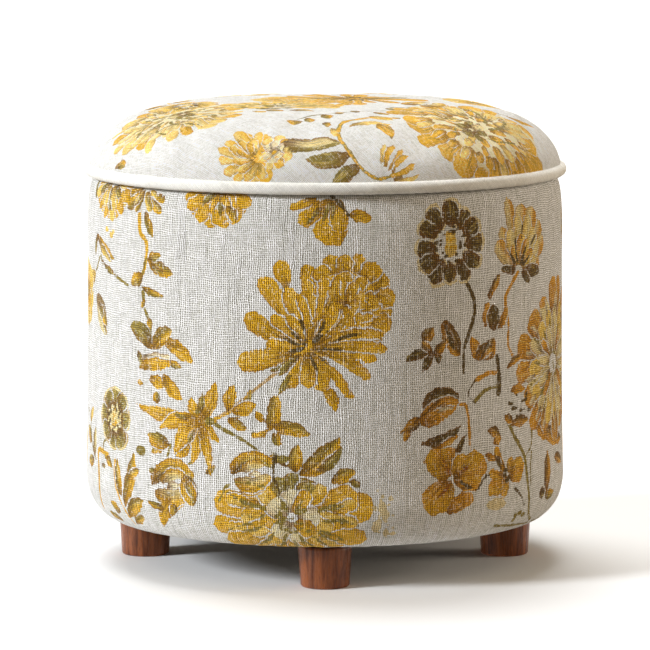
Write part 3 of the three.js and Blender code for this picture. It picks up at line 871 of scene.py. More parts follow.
    at(262, 182)
    p.ring(STEMS, 9, 10, 62, 36, plain(CREAM, 0.3))
    p.ring(1, 16, 40, 72, 21, AMBER, LOBE, 70)
    p.ring(3, 15, 24, 54, 13, YELLOW, TONGUE, 60, 360, CREAM)
    p.ring(5, 12, 8, 36, 9, CREAM, TONGUE, 20, 360, AMBER)
    for angle in range(70, 430, 20):
        p.ray(5 + angle // 20 % 2, angle + p.jitter(8), 46 + p.jitter(4), 62, 4, PALE, LOBE, p.jitter(0.2))
    p.fan(CENTRES, [
        (100, 30, 47, 3.4), (130, 26, 43, 3.4), (150, 38, 55, 3.4), (172, 30, 47, 3.4), (196, 38, 55, 3.4),
        (214, 28, 45, 3.4), (236, 34, 51, 3.4), (20, 30, 47, 3.4), (330, 34, 51, 3.4), (60, 24, 41, 3.4),
    ], plain(OLIVE), POINTED)
    p.specks((-16, -14), (14, 16), 12, 3.6, OLIVE)
    at(0, 0)
    p.leaves(1, [
        (222, 136, 292, 112, 16, AMBER, -0.16), (240, 70, 243, 108, 15, AMBER, -0.1),
        (238, 72, 250, 100, 10, AMBER), (238, 70, 264, 68, 10, OLIVE, -0.16), (262, 98, 292, 90, 11, AMBER),
        (222, 134, 236, 118, 8, AMBER, -0.1),
    ])
    p.petal(3, (226, 72), (238, 70), 10, DARK_OLIVE, BUD)


def between_print(p, at):
    """A daisy, a leafy stem and a blossom where one repeat meets the next."""
    at(322, 300)
    p.daisy(22, 9, OLIVE, MUSTARD, CREAM)
    at(0, 0)
    p.twig([(320, 280), (326, 242), (316, 200), (324, 146)], [
        (324, 252, 342, 268, 12, MUSTARD), (322, 220, 302, 212, 10, OLIVE),
        (318, 196, 338, 184, 13, MUSTARD, 0.12), (320, 172, 304, 156, 11, MUSTARD),
        (326, 238, 310, 246, 9, MUSTARD), (318, 206, 334, 210, 8, OLIVE),
    ], 3, OLIVE)
    at(330, 108)
    p.lobed(6, 27, MUSTARD, YELLOW, OLIVE, 10)


def seat_print(p):
    """The print on the seat's cloth, seen from above."""

    def at(x, y, scale=(1, 1), turn=0.0):
        """A bloom lies flat on the cloth; lines drawn from the middle of the seat follow it in plan."""
        p.place(*unrolled(np.array([[x, y]], float))[0], scale, math.radians(turn))
        p.unroll = None if x or y else unrolled

    # The blooms at the left and right, and the small one at the front edge
    # The left bloom is drawn in paler inks as painted light, where the light from the left falls strongest
    at(-127, -80, (0.97, 0.84), 150)
    p.swirled(STRAW, GOLD, 0.74)
    at(128, -110, (1.06, 1.08))
    p.swirled()
    at(-57, -188, (0.86, 1.2))
    p.fan(1, [
        (64, 6, 26, 9), (84, 6, 30, 9, 0.0), (104, 6, 31, 9), (122, 6, 36, 10, -0.1), (140, 6, 40, 10),
        (156, 6, 42, 10), (172, 6, 41, 10, 0.0), (188, 6, 36, 9), (206, 6, 32, 9, 0.0), (224, 4, 24, 9),
        (250, 4, 20, 9), (276, 4, 20, 9), (300, 4, 22, 9, 0.0),
    ], GOLD, LOBE, STRAW)
    p.fan(3, [
        (96, 4, 22, 8), (124, 4, 26, 8, -0.1), (150, 4, 29, 8), (176, 4, 27, 8), (204, 4, 22, 8),
    ], STRAW, LOBE, MUSTARD)
    p.fan(5, [
        (110, 2, 20, 5, 0.2), (146, 2, 24, 5, 0.2), (180, 2, 20, 5, 0.2), (212, 2, 16, 5, 0.2),
    ], MUSTARD)
    p.ring(STEMS, 6, 0, 22, 16, plain(GOLD))
    p.ring(STEMS, 6, 0, 16, 12, plain(STRAW), center=(19, 3))
    p.ring(3, 9, 5, 17, 9, STRAW, LOBE, 0, 360, GOLD, center=(20, 3))
    p.ring(5, 6, 1, 11, 8, PALE, LOBE, 20, center=(18, 3))
    p.specks((12, -3), (26, 9), 8, 2.2, MUSTARD)

    # The trailing stem with its leaves in the middle
    at(0, 0)
    trail = [(62, -131), (36, -138), (17, -149), (11, -166), (15, -184), (27, -198), (44, -202), (68, -193)]
    p.stem(trail, 4.6, OLIVE)
    p.stem(trail, 3.2, GOLD, CENTRES)
    p.stem(trail[4:], 2.4, OLIVE, CENTRES)
    p.petal(3, (-44, -180), (14, -183), 20, OLIVE, BUD, -0.1)
    p.petal(CENTRES, (-36, -179.5), (9, -182.5), 13, CREAM, BUD, -0.1)
    p.petal(1, (22, -193), (-16, -197), 16, OLIVE, LEAF, 0.2)
    p.petal(2, (30, -198), (4, -209), 13, OLIVE, LEAF, 0.1)
    p.leaves(1, [
        (20, -160, 56, -149, 9, STRAW, 0.16), (44, -150, 56, -170, 14, GOLD, 0.12),
        (48, -196, 50, -180, 5, STRAW), (50, -197, 58, -177, 5.5, GOLD),
        (53, -197, 65, -177, 5.5, GOLD, -0.1), (56, -198, 71, -180, 5.5, GOLD),
        (58, -198, 76, -185, 5.5, GOLD, -0.1), (58, -199, 79, -190, 5.5, STRAW, -0.1),
        (56, -200, 78, -195, 5, OLIVE), (6, -162, 8, -176, 8, STRAW), (-26, -134, -26, -148, 12, MUSTARD),
        (-16, -132, -12, -146, 8, OLIVE), (-2, -122, 4, -138, 10, OLIVE), (0, -148, 2, -160, 7, OLIVE),
        (8, -120, 16, -116, 8, OLIVE), (30, -114, 22, -108, 8, OLIVE), (36, -132, 58, -138, 10, STRAW),
        (52, -156, 56, -172, 5, OLIVE),
    ])
    p.twig([(-24, -132), (-2, -122), (20, -114), (54, -104)], [
        (40, -116, 54, -122, 9, OLIVE), (-50, -94, -36, -108, 10, OLIVE), (-30, -102, -8, -104, 7, OLIVE),
        (-62, -98, -50, -110, 9, YELLOW),
    ], 2.4, OLIVE)
    p.leaves(1, [(-180, -102, -170, -116, 9, OLIVE), (60, -98, 52, -88, 9, OLIVE)])

    # Beyond them, over the top and down to the back edge
    at(-40, -66, (0.8, 0.7), 170)
    p.peony(YELLOW, OLIVE)
    at(84, -38, (1, 1), 60)
    p.curl(46)
    at(-120, -26, (1, 1), -30)
    p.daisy(26, 9, YELLOW, MUSTARD, CREAM)
    at(28, 14, (1.05, 1.0), 150)
    p.chrysanthemum(MUSTARD, YELLOW)
    at(134, 26)
    p.lobed(8, 32, YELLOW, MUSTARD, OLIVE, 14)
    at(0, 0)
    p.twig([(56, -84), (84, -66), (118, -52), (160, -40)], [
        (92, -66, 84, -84, 12, OLIVE), (118, -52, 128, -30, 13, MUSTARD), (100, -58, 96, -42, 9, YELLOW),
        (156, -42, 182, -30, 13, MUSTARD),
    ], 3, OLIVE)
    p.twig([(-170, -60), (-150, -46), (-132, -4), (-138, 34), (-112, 66)], [
        (-158, -54, -176, -40, 11, OLIVE), (-136, 8, -160, 18, 13, MUSTARD),
        (-136, 22, -112, 26, 13, MUSTARD, -0.1), (-134, 42, -154, 58, 12, OLIVE),
    ], 3, MUSTARD)
    at(-92, 90, (1, 0.95), 30)
    p.chrysanthemum(YELLOW, MUSTARD)
    at(64, 122, (0.8, 0.85), 200)
    p.peony(MUSTARD, OLIVE)
    at(150, 92)
    p.lily([
        (10, 40, 14), (70, 44, 14), (130, 38, 13, -0.1), (190, 42, 14), (250, 38, 12), (310, 36, 12, -0.1),
    ])
    at(-20, 172, (1, 1), 200)
    p.curl(50, YELLOW)
    at(0, 0)
    p.twig([(-60, 160), (-30, 150), (6, 158), (40, 180)], [
        (-34, 151, -40, 172, 12, MUSTARD), (0, 156, 10, 136, 12, OLIVE), (24, 168, 18, 190, 12, MUSTARD),
        (-10, 154, -4, 168, 8, YELLOW),
    ], 3, OLIVE)


# Materials

SOCKETS = {
    "sheen_weight": "Sheen Weight",
    "sheen_roughness": "Sheen Roughness",
    "coat_weight": "Coat Weight",
    "coat_roughness": "Coat Roughness",
    "specular": "Specular IOR Level",
    "metallic": "Metallic",
}


class Output:
    """A node's output, for arithmetic with other outputs and with numbers."""

    def __init__(self, nodes, socket):
        self.nodes = nodes
        self.socket = socket

    def __add__(self, other):
        return self.nodes.math("ADD", self, other)

    def __radd__(self, other):
        return self.nodes.math("ADD", other, self)

    def __sub__(self, other):
        return self.nodes.math("SUBTRACT", self, other)

    def __rsub__(self, other):
        return self.nodes.math("SUBTRACT", other, self)

    def __mul__(self, other):
        return self.nodes.math("MULTIPLY", self, other)

    def __truediv__(self, other):
        return self.nodes.math("DIVIDE", self, other)

    def __mod__(self, other):
        return self.nodes.math("FLOORED_MODULO", self, other)

    def __pow__(self, other):
        return self.nodes.math("POWER", self, other)

    def __abs__(self):
        return self.nodes.math("ABSOLUTE", self)


class Nodes:
    """A material's nodes, made in the order that they work in."""

    def __init__(self, name):
        self.material = bpy.data.materials.new(name)
        self.material.use_nodes = True
        self.tree = self.material.node_tree
        self.shader = self.tree.nodes["Principled BSDF"]

    def add(self, kind, inputs=(), **settings):
        """A new node with these inputs, by name, and settings."""
        node = self.tree.nodes.new(kind)
        for key, value in settings.items():
            setattr(node, key, value)
        for key, value in dict(inputs).items():
            self.set(node.inputs[key], value)
        return node

    def outputs(self, node):
        """All of a node's outputs, by name."""
        return {socket.name: Output(self, socket) for socket in node.outputs}

    def only(self, node, which=0):
        """The one output of a node that is used."""
        return Output(self, node.outputs[which])

    def set(self, socket, value):
        """Links an output to a socket, or sets the socket's own value."""
        if isinstance(value, Output):
            self.tree.links.new(value.socket, socket)
        else:
            socket.default_value = value

    def math(self, operation, *values, clamp=False):
        node = self.add("ShaderNodeMath", operation=operation, use_clamp=clamp)
        for socket, value in zip(node.inputs, values):
            self.set(socket, value)
        return self.only(node)

    def ramp(self, value, low, high):
        """0 below low, 1 above high and smooth between."""
        inputs = {"Value": value, "From Min": low, "From Max": high}
        node = self.add("ShaderNodeMapRange", inputs, interpolation_type="SMOOTHSTEP")
        return self.only(node)

    def most(self, first, second):
        return self.math("MAXIMUM", first, second)

    def times_plus(self, value, factor, more):
        return self.math("MULTIPLY_ADD", value, factor, more)

    def scaled(self, value, low, high):
        """A value from 0 to 1, taken to low to high."""
        return self.times_plus(value, high - low, low)

    def mix(self, share, first, second):
        """The first colour where share is 0, the second where it is 1."""
        node = self.add("ShaderNodeMix", data_type="RGBA")
        self.set(node.inputs["Factor"], share)
        self.set(node.inputs[6], first)
        self.set(node.inputs[7], second)
        return self.only(node, 2)

    def tinted(self, colour, value):
        """A colour made lighter or darker by a value near 1."""
        node = self.add("ShaderNodeVectorMath", operation="SCALE")
        self.set(node.inputs[0], colour)
        self.set(node.inputs["Scale"], value)
        return self.only(node)

    def product(self, colour, tint):
        """A colour times another, channel by channel."""
        node = self.add("ShaderNodeVectorMath", operation="MULTIPLY")
        self.set(node.inputs[0], colour)
        self.set(node.inputs[1], tint)
        return self.only(node)

    def vector(self, x, y, z=0.0):
        return self.only(self.add("ShaderNodeCombineXYZ", {"X": x, "Y": y, "Z": z}))

    def split(self, vector):
        return list(self.outputs(self.add("ShaderNodeSeparateXYZ", {"Vector": vector})).values())

    def noise(self, vector, scale, detail, roughness=0.5, distortion=0.0):
        """Soft noise from 0 to 1; scale is how many of its cells there are to a unit of the place."""
        inputs = {"Vector": vector, "Scale": scale, "Detail": detail, "Roughness": roughness}
        inputs["Distortion"] = distortion
        return self.only(self.add("ShaderNodeTexNoise", inputs, noise_dimensions="3D"))

    def attribute(self, name):
        """What the mesh keeps under a name: its Color, Vector, Fac and Alpha."""
        return self.outputs(self.add("ShaderNodeAttribute", attribute_name=name))

    def cloth(self):
        """The place on the cloth laid flat, in mm."""
        return self.attribute("cloth")["Vector"]

    def place(self):
        """The place in the object's own frame, in metres."""
        return self.outputs(self.add("ShaderNodeTexCoord"))["Object"]

    def finish(self, colour, roughness, height=None, bump=0.0005, strength=1.0, **settings):
        """Joins the nodes to the shader, and sets what is the same all over."""
        self.set(self.shader.inputs["Base Color"], colour)
        self.set(self.shader.inputs["Roughness"], roughness)
        for key, value in settings.items():
            self.shader.inputs[SOCKETS[key]].default_value = value
        if height is not None:
            inputs = {"Height": height, "Distance": bump, "Strength": strength}
            self.set(self.shader.inputs["Normal"], self.only(self.add("ShaderNodeBump", inputs)))
        return self.material


# The yarns each way: how far neighbours lie apart in the noise, and how light their bands are
WARP = (17.3, (0.1, 1.3))
WEFT = (23.9, (0.5, 0.82))
WEFT_SHARE = 0.45  # the weft's thick places are this much shorter
WARP_SLUB, WEFT_SLUB = 46, 18  # how long slubs are
BAND_WIDTH = 30


class Weave:
    """Plain weave of uneven yarns: its tone, painted shade between yarns included, its height, and yarns
    bare through the print.
    """

    def __init__(self, n, cloth, pitch, streak, turn=0.0, slub=0.0):
        x, y, _ = n.split(cloth)
        if turn:
            cos, sin = math.cos(turn), math.sin(turn)
            x, y = x * cos + y * sin, y * cos - x * sin
        wander = n.scaled(n.noise(n.vector(x, y), 0.05, 3.0), -1.4, 1.4)
        across = x / pitch + wander
        up = y / pitch - wander
        column = n.math("FLOOR", across)
        row = n.math("FLOOR", up)
        odd = (column + row) % 2.0
        warp, warp_light = self.yarn(n, across, column, y, streak, odd, *WARP)
        weft, weft_light = self.yarn(n, up, row, x, streak * WEFT_SHARE, 1.0 - odd, *WEFT)
        top = n.most(warp_light, weft_light)
        white = n.add("ShaderNodeTexWhiteNoise", {"Vector": n.vector(column, row)}, noise_dimensions="2D")
        chance = n.only(white)
        fuzz = n.noise(n.vector(x, y), 1.1, 2.0, 0.6) - 0.5
        self.yarns = warp + weft
        self.height = top
        # The tone follows the yarns' painted light and shade, with random tone at each crossing and a soft
        # fuzz
        tone = n.times_plus(top, 1.2, 0.13)
        tone = n.times_plus(chance - 0.5, 0.2, tone)
        tone = n.times_plus(fuzz, 0.45, tone)
        if slub:
            tone = tone - self.slubs(n, across, column, x, y, WARP_SLUB, slub)
            tone = tone - self.slubs(n, up, row, y, x, WEFT_SLUB, slub * 0.65)
        self.tone = tone
        worn = n.ramp(chance, 0.72, 0.9) * n.ramp(top, 0.6, 0.95)
        self.bare = n.most(worn, n.ramp(top, 0.92, 1.12) * 0.8)

    def slubs(self, n, yarns, number, across, along, length, depth):
        """Thick yarns with painted light on one half and a dark line of painted shade at one side, in bands
        a few centimetres wide.
        """
        band = n.noise(n.vector(across / BAND_WIDTH, along / (length * 2.4)), 1.0, 2.0)
        line = n.noise(n.vector(number * 7.31, along / length), 1.0, 2.0, 0.6)
        share = n.ramp(band, 0.4, 0.56) * n.ramp(line, 0.5, 0.64)
        # Painted light and shade across the raised yarn: lighter on one half, a dark line on the other
        side = n.ramp(n.math("FRACT", yarns), 0.42, 0.62)
        return share * n.scaled(side, -0.4 * depth, depth)

    def yarn(self, n, across, number, along, streak, over, step, bands):
        """How thick the yarn is here, near 0.5, and how light it lies in its round section, with painted
        shade at its sides and under crossings.
        """
        place = n.vector(number * step, along / streak)
        value = n.noise(place, 1.0, 1.5, 0.6)
        middle = n.times_plus(n.math("FRACT", across), 2.0, -1.0)
        # Painted shade: the yarn darkens towards its sides, into the gaps between yarns
        section = 1.0 - middle * middle
        place = n.vector(number * (step * 0.03), along / (streak * 7))
        band = n.noise(place, 1.0, 3.0, 0.7)
        light = n.scaled(value, -0.28, 0.72) + n.scaled(band, *bands)
        light = section * light
        # Painted shade where the yarn passes under the crossing one
        return value, light * n.scaled(over, 0.82, 1.0)


def drawn(n, under, layer, rag, drift, ground, gap):
    """One layer of the print over the colours under it, each shape brushed darker from its base."""
    shape = n.attribute(f"shape_{layer}")["Vector"]
    ink = n.attribute(f"ink_{layer}")
    marked = ink["Alpha"]
    outside, beside, along = n.split(shape)
    edge = n.times_plus(rag, 0.45 if layer in (STEMS, DOTS) else 1.0, outside)
    half = n.most(abs(beside) - outside, 0.6)
    if gap:
        share = n.ramp(edge, gap, gap * 0.55) * n.ramp(half, 1.6, 3.0)
        share = share * n.ramp(n.times_plus(rag, 0.16, along), 0.14, 0.5)
        under = n.mix(share, under, ground)
    side = beside / half
    place = n.vector(beside * 0.5, n.times_plus(along, 1.7, 5.3 * layer), drift)
    brush = n.noise(place, 1.0, 2.0, 0.6)
    marks = n.ramp(brush, 0.5, 0.58) * n.ramp(along, 0.95, 0.25)
    base = n.ramp(along, 0.5, 0.04) * 0.9
    shade = n.ramp(side, 0.0, 1.0) * 0.48
    outline = n.ramp(edge, -1.2, -0.5) * n.ramp(side, -0.5, 0.5)
    warm = n.most(base, n.most(shade, outline))
    warm = n.math("MULTIPLY", warm, marked * 1.3, clamp=True)
    dark = n.most(marks, base * 0.6) * marked
    light = n.ramp(brush, 0.47, 0.36) * n.ramp(along, 0.15, 0.6)
    light = light * (marked * 0.6)
    colour = n.mix(light, ink["Color"], HIGHLIGHT)
    colour = n.mix(warm, colour, n.mix(0.5, n.mix(0.5, SHADE, ink["Color"]), SHADE))
    colour = n.mix(dark, colour, BRUSH)
    return n.mix(n.ramp(edge, 0.25, -0.3), under, colour)


def printed_linen(name, pitch, streak, slub, contrast, rough, gap, level, turn=0.0):
    """Off-white linen with the print drawn over it, broken by its yarns.

    Pitch is from yarn to yarn, streak is how long a yarn stays thick, slub is how much slubs show, contrast
    is the weave's, with its painted shade between yarns, rough is how ragged the print's edges are, gap is
    the bare line round petals, and level is the cloth's lightness, raised on the seat as painted light from
    above.
    """
    n = Nodes(name)
    cloth = n.cloth()
    x, y, _ = n.split(cloth)
    weave = Weave(n, cloth, pitch, streak, turn, slub)
    blotch = n.noise(cloth, 0.045, 3.0)
    fine = n.noise(cloth, 0.42, 3.0, 0.65) - 0.5
    wobble = n.noise(cloth, 0.11, 2.0) - 0.5
    rag = fine * rough + wobble * 5.0
    rag = rag + (weave.yarns - 1.0) * 2.4
    drift = x * 0.017 + y * 0.023
    ground = n.mix(blotch, GROUND, GROUND_WHITE)
    colour = ground
    for layer in range(LAYERS):
        bare = 0 if layer in (STEMS, CENTRES, DOTS) else gap
        colour = drawn(n, colour, layer, rag, drift, ground, bare)
    colour = n.tinted(colour, n.scaled(n.noise(cloth, 0.12, 4.0, 0.7), 0.8, 1.2))
    inked = n.ramp(n.split(colour)[2], 0.5, 0.1)
    colour = n.mix(weave.bare * 0.3, colour, ground)
    # The weave's tone, with its painted shade between yarns, goes deeper on the ink, and its darker places
    # are painted warmer
    depth = n.scaled(inked, contrast, 1.5 * contrast)
    tone = n.times_plus(weave.tone - 1.0, depth, 1.0)
    tone = n.most(tone, 0.15)
    warm = n.vector(tone ** n.scaled(inked, 1.0, 0.85), tone, tone ** 1.2)
    colour = n.tinted(n.product(colour, warm), n.scaled(inked, level, 1.08 * level))
    height = weave.height - (1.0 - weave.tone) * 0.35
    return n.finish(
        colour, 0.9, height, 0.0013, sheen_weight=0.12, sheen_roughness=0.5, specular=0.18)


def plain_cloth(name, light, dark, pitch, bump=0.0004, contrast=0.8, turn=0.0):
    """Unprinted woven cloth."""
    n = Nodes(name)
    cloth = n.cloth()
    weave = Weave(n, cloth, pitch, 22, turn)
    soft = n.noise(cloth, 0.03, 3.0)
    colour = n.mix(n.ramp(soft, 0.3, 0.7), light, dark)
    # The weave's tone carries its painted shade between yarns
    tone = 1 - contrast + weave.tone * contrast
    colour = n.tinted(colour, tone)
    return n.finish(colour, 0.92, weave.height, bump, 0.6, sheen_weight=0.1, specular=0.18)


def felt(name, light, dark):
    """Non-woven cloth, pressed from fibres in a small dimpled pattern."""
    n = Nodes(name)
    cloth = n.cloth()
    x, y, _ = n.split(cloth)
    dimple = n.math("SINE", x * 3.4) * n.math("SINE", y * 3.4)
    fibre = n.noise(cloth, 0.9, 4.0, 0.7, 1.5)
    colour = n.mix(n.ramp(fibre, 0.3, 0.75), dark, light)
    height = n.ramp(dimple, -0.2, 0.6) * 0.6 + fibre
    return n.finish(colour, n.scaled(fibre, 0.8, 0.95), height, 0.0002, 0.5, specular=0.25)


def walnut():
    """Lacquered walnut with its grain up the foot."""
    n = Nodes("lacquered_walnut")
    place = n.place()
    x, y, z = n.split(place)
    wobble = n.noise(place, 9.0, 3.0, 0.55)
    grain = n.vector(x * 56, y * 56, n.times_plus(z, 2.6, wobble))
    bands = n.noise(grain, 2.4, 4.0, 0.62, 0.7)
    fine = n.vector(x * 420, y * 420, z * 24)
    pores = n.noise(fine, 2.2, 3.0, 0.6)
    colour = n.mix(n.ramp(bands, 0.26, 0.72), srgb(64, 27, 10), srgb(138, 79, 45))
    colour = n.mix(n.ramp(pores, 0.52, 0.7) * 0.6, colour, srgb(44, 18, 9))
    rough = n.scaled(n.ramp(pores, 0.4, 0.7), 0.26, 0.42)
    return n.finish(
        colour, rough, pores, 0.0001, 0.35, coat_weight=0.06, coat_roughness=0.2, specular=0.24)


def plywood():
    """Sanded birch plywood: growth figure on its faces and plies on its edges."""
    n = Nodes("plywood_board")
    place = n.place()
    x, y, z = n.split(place)
    figure = n.vector(x * 3, y * 22, z * 3)
    bands = n.noise(figure, 2.0, 4.0, 0.6, 0.8)
    plies = n.math("SINE", z * (2 * math.pi / 0.003))
    colour = n.mix(n.ramp(bands, 0.3, 0.7), srgb(214, 182, 130), srgb(186, 148, 98))
    colour = n.mix(n.ramp(plies, 0.2, 0.6) * 0.25, colour, srgb(150, 110, 68))
    return n.finish(colour, n.scaled(bands, 0.6, 0.8), bands, 0.0002, 0.3)


def steel():
    """Zinc-plated steel."""
    n = Nodes("zinc_steel")
    place = n.place()
    cloud = n.noise(place, 320.0, 3.0, 0.6)
    colour = n.mix(cloud, srgb(170, 170, 164), srgb(208, 208, 204))
    return n.finish(colour, n.scaled(cloud, 0.24, 0.42), cloud, 0.00005, 0.3, metallic=1.0)


def paint(made, material):
    """Gives an object this one material."""
    made.data.materials.clear()
    made.data.materials.append(material)


# Pieces

def settle(made, body, slot, *nodes):
    """Puts a finished piece on its body in place of its CAD nodes; slot is not used."""
    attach(made, body)
    if nodes:
        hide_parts(*nodes)


def give_cloth(made, *place):
    """Gives each point its place on the cloth laid flat."""
    give(made, "cloth", "FLOAT_VECTOR", np.stack(place, axis=-1))


def add_print(made, pattern):
    """Gives each point what the print's layers keep for it."""
    for layer in range(LAYERS):
        give(made, f"shape_{layer}", "FLOAT_VECTOR", pattern.shapes[layer])
        give(made, f"ink_{layer}", "FLOAT_COLOR", pattern.inks[layer])


def turned_angles():
    """Angles of the side cloth's columns from the seam at the back round to it again, closer in front."""
    fine = math.ceil(2 * FINE_HALF_ANGLE * CLOTH_RADIUS / FINE_STEP)
    coarse = math.ceil((math.pi - FINE_HALF_ANGLE) * CLOTH_RADIUS / COARSE_STEP)
    front = np.linspace(-FINE_HALF_ANGLE, FINE_HALF_ANGLE, fine + 1)
    left = np.linspace(-math.pi, -FINE_HALF_ANGLE, coarse + 1)[:-1]
    return np.concatenate([left, front, -left[::-1]])


def side_cover():
    """The printed cloth over the drum's side, with its roll, its seam at the back and its tucked ends."""
    hem, outside, tail = drum_profile()
    profile = np.vstack([hem, resampled(outside, ROW_STEP), tail])
    far = lengths(profile)
    level = far[np.argmin(np.abs(profile[:, 1] - ROLL_TOP) + 1000 * (profile[:, 0] < DRUM_RADIUS))]
    turn, radius, height = polar(profile, turned_angles())
    start_radius = profile[:, :1]
    along = turn * CLOTH_RADIUS
    up = np.repeat((far - level + ROLL_TOP)[:, None], turn.shape[1], axis=1)

    above, below = height - 60, DRUM_TOP - 12 - height
    on_side = np.clip(above / SIDE_FADE, 0, 1) * np.clip(below / SIDE_FADE, 0, 1)
    radius = radius + SIDE_WAVES * on_side * wave(along, up, SEED, 160)
    in_roll = bell(height - ROLL_MIDDLE, 14) * (start_radius > HEM_INNER + 9)
    radius = radius + GATHERS * in_roll * wave(along, up * 0.12, SEED + 1, 26, 2)
    pleats = np.clip(wave(along, up * 0.1, SEED + 2, 17, 1), -1, 1)
    under = (start_radius < WIDEST - ROLL_INSET + 8) & (height < UNDERSIDE + 2)
    height = height + PLEATS * under * (pleats + 1)
    seam = math.pi * CLOTH_RADIUS - np.abs(along)
    stitch = 0.25 * np.sin(up * 2 * math.pi / STITCH) * bell(seam, 7)
    on_cloth = (start_radius > TAIL_RADIUS + 4) & (height > UNDERSIDE + 3)
    radius = radius + on_cloth * (stitch - SEAM_DEPTH * bell(seam, 1.6) + 0.5 * bell(seam - 5, 3))

    grid = turned(radius, turn, height)
    made = grid_object("drum_cover", grid)
    give_cloth(made, along, up, 0 * up)
    pattern = Print(along, up, SEED)
    for shift in (-2, 0, 2):
        side_print(pattern, shift * REPEAT / 2)
    add_print(made, pattern)
    paint(made, printed_linen(
        "drum_linen_cloth", pitch=1.85, streak=18, slub=0.38, contrast=0.8, rough=2.2, gap=SIDE_GAP,
        level=1.11))
    settle(made, "drum", "drum_linen", "side_cover", "side_foam")


def crown_point(radius):
    """Height of the crown at a radius."""
    grow = np.clip(1 - (radius / CROWN_RADIUS) ** CROWN_POWERS[0], 0, 1)
    return CROWN_BASE + (CROWN_TOP - CROWN_BASE) * grow ** (1 / CROWN_POWERS[1])


def unrolled(places):
    """Places on the seat as seen from above, moved to where they are on its cloth laid flat."""
    crown = crown_profile()[::-1]
    radius = np.hypot(places[:, 0], places[:, 1])
    flat = np.interp(radius, crown[:, 0], lengths(crown)) + np.maximum(radius - crown[-1, 0], 0)
    return places * (flat / np.maximum(radius, TINY))[:, None]


def swollen_crown(radii, angles):
    """How far a cloth simulation lifts the seat's cloth, away from its even shape, at each place."""
    start = resampled(crown_profile(), PAD_STEP)
    start[-1, 0] = 0
    below = CROWN_BASE - 4
    pad = revolved("seat_pad_start", np.vstack([[0, below], [start[0, 0], below], start]), 96)
    random = np.random.default_rng(SEED)
    for vertex in pad.data.vertices:
        vertex.co.z *= 1 + random.uniform(-0.002, 0.002)
    bpy.context.view_layer.objects.active = pad
    remesh = pad.modifiers.new("remesh", "REMESH")
    remesh.mode = "VOXEL"
    remesh.voxel_size = PAD_STEP * MM
    bpy.ops.object.modifier_apply(modifier="remesh")
    held = pad.vertex_groups.new(name="held")
    edge = (PIPING_HEIGHT + PIPING_RADIUS) * MM
    held.add([v.index for v in pad.data.vertices if v.co.z < edge], 1.0, "ADD")
    cloth = pad.modifiers.new("cloth", "CLOTH")
    cloth.settings.vertex_group_mass = "held"
    cloth.settings.use_pressure = True
    cloth.settings.uniform_pressure_force = PAD_PRESSURE
    cloth.settings.effector_weights.gravity = 0
    cloth.settings.shrink_min = PAD_SHRINK
    cloth.settings.quality = 4
    cloth.point_cache.frame_start, cloth.point_cache.frame_end = 1, PAD_FRAMES
    for step in range(1, PAD_FRAMES + 1):
        bpy.context.scene.frame_set(step)
    graph = bpy.context.evaluated_depsgraph_get()
    tree = BVHTree.FromObject(pad, graph)
    lift = np.zeros((radii.size, angles.size))
    above = 40
    for i, radius in enumerate(radii):
        height = crown_point(radius) + above
        for j, angle in enumerate(angles):
            start = Vector((radius * math.sin(angle), -radius * math.cos(angle), height)) * MM
            hit = tree.ray_cast(start, Vector((0, 0, -1)))[0]
            if hit is not None:
                lift[i, j] = hit.z / MM - height + above
    bpy.data.objects.remove(pad)
    bpy.context.scene.frame_set(1)
    lift -= lift.mean(axis=1, keepdims=True)
    return np.clip(lift, -MOST_LIFT, MOST_LIFT)


def lift_at(turn, r):
    """The simulated lift at each point, from the coarse places that it was measured at."""
    radii = np.linspace(0, LIFT_RADIUS, LIFT_ROWS)
    lift = swollen_crown(radii, around_axis(LIFT_COLUMNS))
    spread = np.interp(np.clip(r, 0, LIFT_RADIUS), radii, np.arange(LIFT_ROWS))
    low = np.minimum(spread.astype(int), LIFT_ROWS - 2)
    share = spread - low
    around = (turn + math.pi) / (2 * math.pi) * LIFT_COLUMNS
    left = np.floor(around).astype(int) % LIFT_COLUMNS
    right = (left + 1) % LIFT_COLUMNS
    part = around - np.floor(around)
    part = part * part * (3 - 2 * part)
    raised = (1 - share) * ((1 - part) * lift[low, left] + part * lift[low, right])
    return raised + share * ((1 - part) * lift[low + 1, left] + part * lift[low + 1, right])


